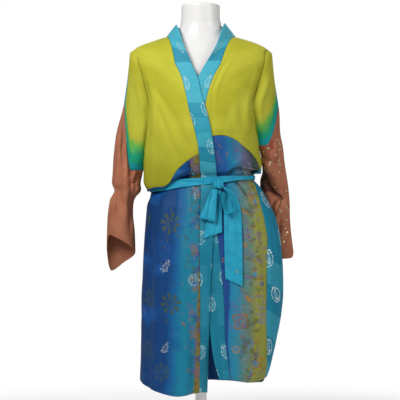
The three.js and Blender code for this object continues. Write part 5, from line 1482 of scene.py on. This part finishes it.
# ---- the tie belt and its bow ----
# One strip of plain turquoise silk, folded double and drawn up to a soft rope round the waist, then
# tied in front over the right front: a knot, two loops and two hanging ends.
BELT_LIFT, BELT_THICK = 3.3, 2.0
BELT_RUN = 40  # the belt's cloth places from its top edge to its foot
BELT_EDGES = table("turn right_top right_foot left_top left_foot", [
    (0, 9.4, 10.55, 9.4, 10.55), (0.12, 9.4, 10.5, 9.4, 10.4), (0.25, 9.75, 10.4, 9.5, 10.2),
    (0.5, 9.75, 10.5, 9.5, 10.1), (0.7, 9.6, 10.5, 9.3, 10.4), (1, 9.3, 10.8, 9.3, 10.8),
])
CREASES_BELT = [
    (3, 1.8, (-74, 708), (-55, 714), (-16, 712), (32, 706)),
    (1.8, 1.6, (68, 708), (101, 716), (145, 715)),
    (-1.2, 1.6, (-68, 716), (-30, 719), (19, 714)),
]
CREASES_BOW = {
    "bow_loop_right": [
        (5, 2.4, (33, 699), (25, 663), (16, 604)),
        (-3, 2.4, (39, 699), (34, 658), (28, 606)),
        (4, 2, (24, 693), (10, 655), (2, 618)),
        (-2, 2, (28, 693), (17, 655), (9, 612)),
    ],
    "bow_tail_short": [
        (4.5, 2.6, (47, 698), (45, 636), (38, 556)),
        (-2.5, 2.4, (51, 698), (51, 640), (48, 570)),
        (3, 2.4, (36, 663), (25, 614), (16, 576)),
    ],
    "bow_tail_long": [
        (3.5, 3, (68, 696), (77, 622), (74, 461)),
        (-2.2, 3, (77, 696), (90, 622), (93, 445)),
        (2, 3, (82, 691), (101, 622), (105, 439)),
    ],
}
look = Look("turquoise_silk", ink(36, 152, 182), 0.55, shine=0.15)
look.paint(ink(30, 132, 164), look.noise(24, 3).smooth(0.4, 0.7) * 0.6)
look.paint(ink(110, 100, 150), length(look.across - 8, look.down - 479).smooth(4, 1.5) * 0.6)
look.paint(ink(150, 160, 60), length(look.across - 36, look.down - 467).smooth(5, 2) * 0.6)
look.rough_up(look.noise(1.6, 2, (0.3, 1, 1)), 0.2)
look.rough_up(look.noise(9, 3), 0.5)
turquoise = look.done()


def belt_half(side, turn, down):
    """Half of the belt, off the cloth below it: down goes from its top edge to its foot."""
    top, foot = (along(BELT_EDGES["turn"], BELT_EDGES[side + k], turn) for k in ("_top", "_foot"))
    ring = mix(top, foot, down)
    x = body_point(side, turn, ring)[..., 0]
    over = np.where(turn > 0.5, 0, OVERLAP_LIFT * ease((x + 90) / 60) * ease((95 - x) / 40))
    return body_point(side, turn, ring, BELT_LIFT + over + fold_depth(side, turn, ring))


def belt_point(signed, down):
    """A place on the belt: signed is the turn, below nought to the wearer's right."""
    signed, down = np.broadcast_arrays(signed, down)
    halves = (belt_half(side, np.abs(signed), down) for side in ("right", "left"))
    return np.where((signed < 0)[..., None], *halves)


def add_tie(name, points, cloth, cut, held, rests_on, flip=True, **look):
    """A length of the belt."""
    add_piece(name, [(points, cloth, flip)], BELT_THICK, "turquoise_plain", turquoise, cut, held,
              rests_on, wave_size=30, nip=0, **look)


belt = grid(-1, 1, 0, 1, belt_point, columns=120, rows=10)
belt_cloth = cloth_places(belt)
belt_cloth[..., 1] = np.linspace(0, BELT_RUN, belt.shape[0])[:, None]
add_tie("belt", belt, belt_cloth, (0.024, 0.8, 0.0185), "gathered", "skirt_front_right_cloth",
        wave=0.5, seed=41, folds=CREASES_BELT)

STRIP_COLUMNS = "step x z half slant off"
STRIPS = {
    "bow_tail_short": dict(
        lean=0.6,
        cut=(0.05, 0.13, 0.0048),
        line=table(STRIP_COLUMNS, [
            (0, 49, 691, 8, 0, 13), (1, 46, 668, 12, 1, 9.5), (2, 41, 635, 17, 3, 8.6),
            (3, 35, 600, 22, 6, 8.6), (4, 32, 566, 26, 9, 8.8),
        ]),
    ),
    "bow_tail_long": dict(
        lean=-0.5,
        cut=(0.05, 0.26, 0.0125),
        line=table(STRIP_COLUMNS, [
            (0, 71, 692, 8, 4, 9), (1, 80, 668, 17, 2, 5.5), (2, 86, 632, 24, 0, 4.2),
            (3, 88, 560, 25, -3, 4), (4, 89, 500, 25, -7, 4), (5, 90, 437, 24, -11, 4),
        ]),
    ),
    "bow_loop_right": dict(
        lean=0,
        cut=(0.042, 0.165, 0.0056),
        line=table(STRIP_COLUMNS, [
            (0, 37, 692, 8, 0, 27), (1, 31, 670, 12, 0, 29), (2, 24, 640, 17, -1, 28),
            (2.8, 18, 616, 20.5, -4, 25), (3.1, 16.5, 609, 21, -5, 19.5),
            (3.4, 17, 613, 20.5, -5, 13.5), (4.2, 23, 640, 16, -1, 12.6), (5, 31, 668, 11, 0, 14.5),
            (6, 37, 690, 7, 0, 18),
        ]),
    ),
}


def strip(line, lean, across, step):
    """A hanging end of the bow in front of the robe; across goes from -1 to 1."""
    place = {k: along(line["step"], line[k], step) for k in ("x", "z", "half", "slant", "off")}
    x = place["x"] + across * place["half"]
    z = place["z"] + across * place["slant"]
    return np.stack([x, front_y(x, z) - place["off"] - lean * across**2, z], -1)


for name, bow in STRIPS.items():
    last = bow["line"]["step"][-1]
    points = grid(-1, 1, 0, last, lambda i, j: strip(bow["line"], bow["lean"], i, j), columns=8, rows=12)
    add_tie(name, points, cloth_places(points), bow["cut"], "hung", "belt_cloth", wave=0.3, seed=42,
            folds=CREASES_BOW[name])

LEFT_LOOP = table("step x z near deep", [
    (0, 66, 700, 17, 14), (1, 77, 691, 12.5, 16), (2, 89, 671, 9.5, 18), (3, 96, 651, 7.6, 19.5),
    (4, 91, 636, 7, 20), (5, 80, 631, 7, 20), (6, 70, 637, 7, 19), (7, 64.5, 654, 8, 18),
    (8, 63.5, 673, 11.5, 15.5), (9, 64.5, 689, 15.5, 12.5),
])
LOOP_LEAN, LOOP_RUN = -5, 2.5


def left_loop(forward, step):
    """The small loop is a ring seen nearly end on: its width stands forward of the robe."""
    at = {k: along(LEFT_LOOP["step"], LEFT_LOOP[k], step) for k in ("x", "z", "near", "deep")}
    y = front_y(at["x"], at["z"]) - at["near"] - at["deep"] * forward
    return np.stack([at["x"] + LOOP_LEAN * forward, y, at["z"] + LOOP_LEAN * forward], -1)


points = grid(0, 1, 0, 9, left_loop, columns=8, rows=8)
cloth = cloth_places(points)
cloth[..., 1] = np.arange(len(points))[:, None] * LOOP_RUN
add_tie("bow_loop_left", points, cloth, (0.02, 0.15, 0.0029), "gathered", "bow_knot_cloth", flip=False,
        wave=0.3, seed=43)

# ---- the knot of the bow ----
# A small soft lump of the belt, drawn tight, with creases that run into it.
KNOT = dict(x=48, z=706, wide=15.5, high=13, deep=9.6, off=19.7)
KNOT_CREASES = [
    dict(middle=0.02, lean=0.34, wide=0.09, depth=0.3),
    dict(middle=-0.36, lean=0.2, wide=0.08, depth=0.26),
    dict(middle=-0.68, lean=-0.1, wide=0.08, depth=0.2),
    dict(middle=0.42, lean=0.1, wide=0.09, depth=0.26),
]
KNOT_ROWS, KNOT_COLUMNS, KNOT_FULLNESS, KNOT_TAPER = 40, 64, 0.62, 0.14
tilt = np.linspace(0, np.pi, KNOT_ROWS + 1)[:, None]
turn = np.linspace(0, 2 * np.pi, KNOT_COLUMNS, endpoint=False)[None]
ball = np.stack([np.sin(tilt) * np.cos(turn), np.sin(tilt) * np.sin(turn), np.cos(tilt) + 0 * turn], -1)
ball = ball.reshape(-1, 3)
size = np.ones(len(ball))
for crease in KNOT_CREASES:
    away = ball[:, 0] + crease["lean"] * ball[:, 2] - crease["middle"]
    size -= crease["depth"] * np.exp(-((away / crease["wide"]) ** 2)) * np.where(ball[:, 1] < 0, 1, 0.3)
shape = np.sign(ball) * np.abs(ball) ** KNOT_FULLNESS * size[:, None]
shape[:, 0] *= 0.92 - KNOT_TAPER * shape[:, 2]
shape *= [KNOT["wide"], KNOT["deep"], KNOT["high"]]
behind = front_y(np.array([KNOT["x"]]), np.array([KNOT["z"]]))[0]
shape += [KNOT["x"], behind - KNOT["off"], KNOT["z"]]
net = np.arange(len(ball)).reshape(KNOT_ROWS + 1, KNOT_COLUMNS)
following = np.roll(net, -1, axis=1)
faces = np.stack([net[:-1], net[1:], following[1:], following[:-1]], -1).reshape(-1, 4)
knot = new_object("bow_knot_cloth", shape, faces.tolist())
work = bmesh.new()
work.from_mesh(knot.data)
bmesh.ops.remove_doubles(work, verts=work.verts, dist=1e-6)
bmesh.ops.recalc_face_normals(work, faces=work.faces)
work.to_mesh(knot.data)
work.free()
knot.data.polygons.foreach_set("use_smooth", np.ones(len(knot.data.polygons), bool))
fit(knot, "bow_knot", turquoise)

# ---- the display form ----
# A limbless torso of glass fibre in gloss white, which the robe is worn on. It is stuck on a pole that
# stands in a round turned base.
look = Look("form_white", ink(233, 231, 229), 0.22, places="object")
look.paint(ink(226, 224, 221), look.noise(160))
look.rough_up(look.noise(40), 0.05)
form_white = look.done()
TORSO = table("z half front back point", [
    (480, 138, 92, 96, 1), (484, 146, 99, 103, 1), (520, 152, 106, 110, 1), (560, 151, 107, 110, 1),
    (600, 147, 104, 107, 1), (640, 139, 98, 100, 1), (680, 129, 90, 85, 1), (716, 121, 86, 77, 1),
    (755, 124, 92, 76, 1), (800, 133, 106, 80, 1), (850, 144, 124, 87, 1), (900, 151, 134, 93, 1),
    (935, 158, 129, 96, 1), (970, 167, 117, 97, 1), (1005, 177, 106, 95, 1), (1035, 185, 97, 89, 1.05),
    (1059, 188.5, 89, 83, 1.15), (1073, 189, 83, 79, 1.3), (1082.6, 186.5, 77, 74, 1.45),
    (1091.4, 176, 73, 67, 1.5), (1101.5, 153, 69, 60, 1.5), (1111.5, 124, 66, 57, 1.5),
    (1119.3, 97, 64, 60, 1.4), (1128, 78, 62, 60, 1.2), (1140, 66, 60, 58, 1), (1158, 58, 58, 53, 1),
    (1182, 55.5, 59, 48, 1), (1206, 55, 60, 45, 1), (1213, 52, 57, 42, 1), (1216, 46, 51, 36, 1),
])
TORSO_MIDDLE = 2
TORSO_COLUMNS, TORSO_LEVELS, BASE_COLUMNS, POLE_COLUMNS = 128, 240, 192, 96


def turned(name, rows, columns):
    """A closed smooth solid through ovals: rows of height, half width, front, back and pointedness."""
    angle = np.linspace(0, 2 * np.pi, columns, endpoint=False)[None]
    sine = np.sin(angle)
    deep = np.where(sine < 0, -rows["front"][:, None], rows["back"][:, None])
    deep = deep * np.abs(sine) ** rows["point"][:, None]
    x = rows["half"][:, None] * np.cos(angle)
    z = rows["z"][:, None] + 0 * angle
    points = np.stack([x, rows["middle"] + deep, z], -1).reshape(-1, 3)
    net = np.arange(len(points)).reshape(-1, columns)
    following = np.roll(net, -1, axis=1)
    faces = np.stack([net[:-1], following[:-1], following[1:], net[1:]], -1).reshape(-1, 4).tolist()
    faces += [net[0, ::-1].tolist(), net[-1].tolist()]
    piece = new_object(name + "_smooth", points, faces)
    piece.data.polygons.foreach_set("use_smooth", [len(f) == 4 for f in faces])
    fit(piece, name, form_white)


def round_levels(rows):
    """Rows of height and radius as ovals for turned()."""
    z, radius = np.array(rows, float).T
    return dict(z=z, half=radius, front=radius, back=radius, point=1 + 0 * z, middle=0)


levels = np.linspace(0, len(TORSO["z"]) - 1, TORSO_LEVELS)
steps = np.arange(len(TORSO["z"]))
smooth_torso = {k: along(steps, TORSO[k], levels) for k in TORSO}
turned("form_torso", {**smooth_torso, "middle": TORSO_MIDDLE}, TORSO_COLUMNS)
turned("form_base", round_levels([
    (0, 168), (0.6, 169.4), (2, 170), (8, 170), (10, 169), (11, 166), (12.5, 150), (15, 110), (18, 70),
    (21.5, 42), (25, 26), (26.6, 22), (27, 20),
]), BASE_COLUMNS)
turned("form_pole", round_levels([
    (27.35, 16), (200, 16), (452, 16), (458, 19), (466, 27), (474, 35), (479.65, 38),
]), POLE_COLUMNS)
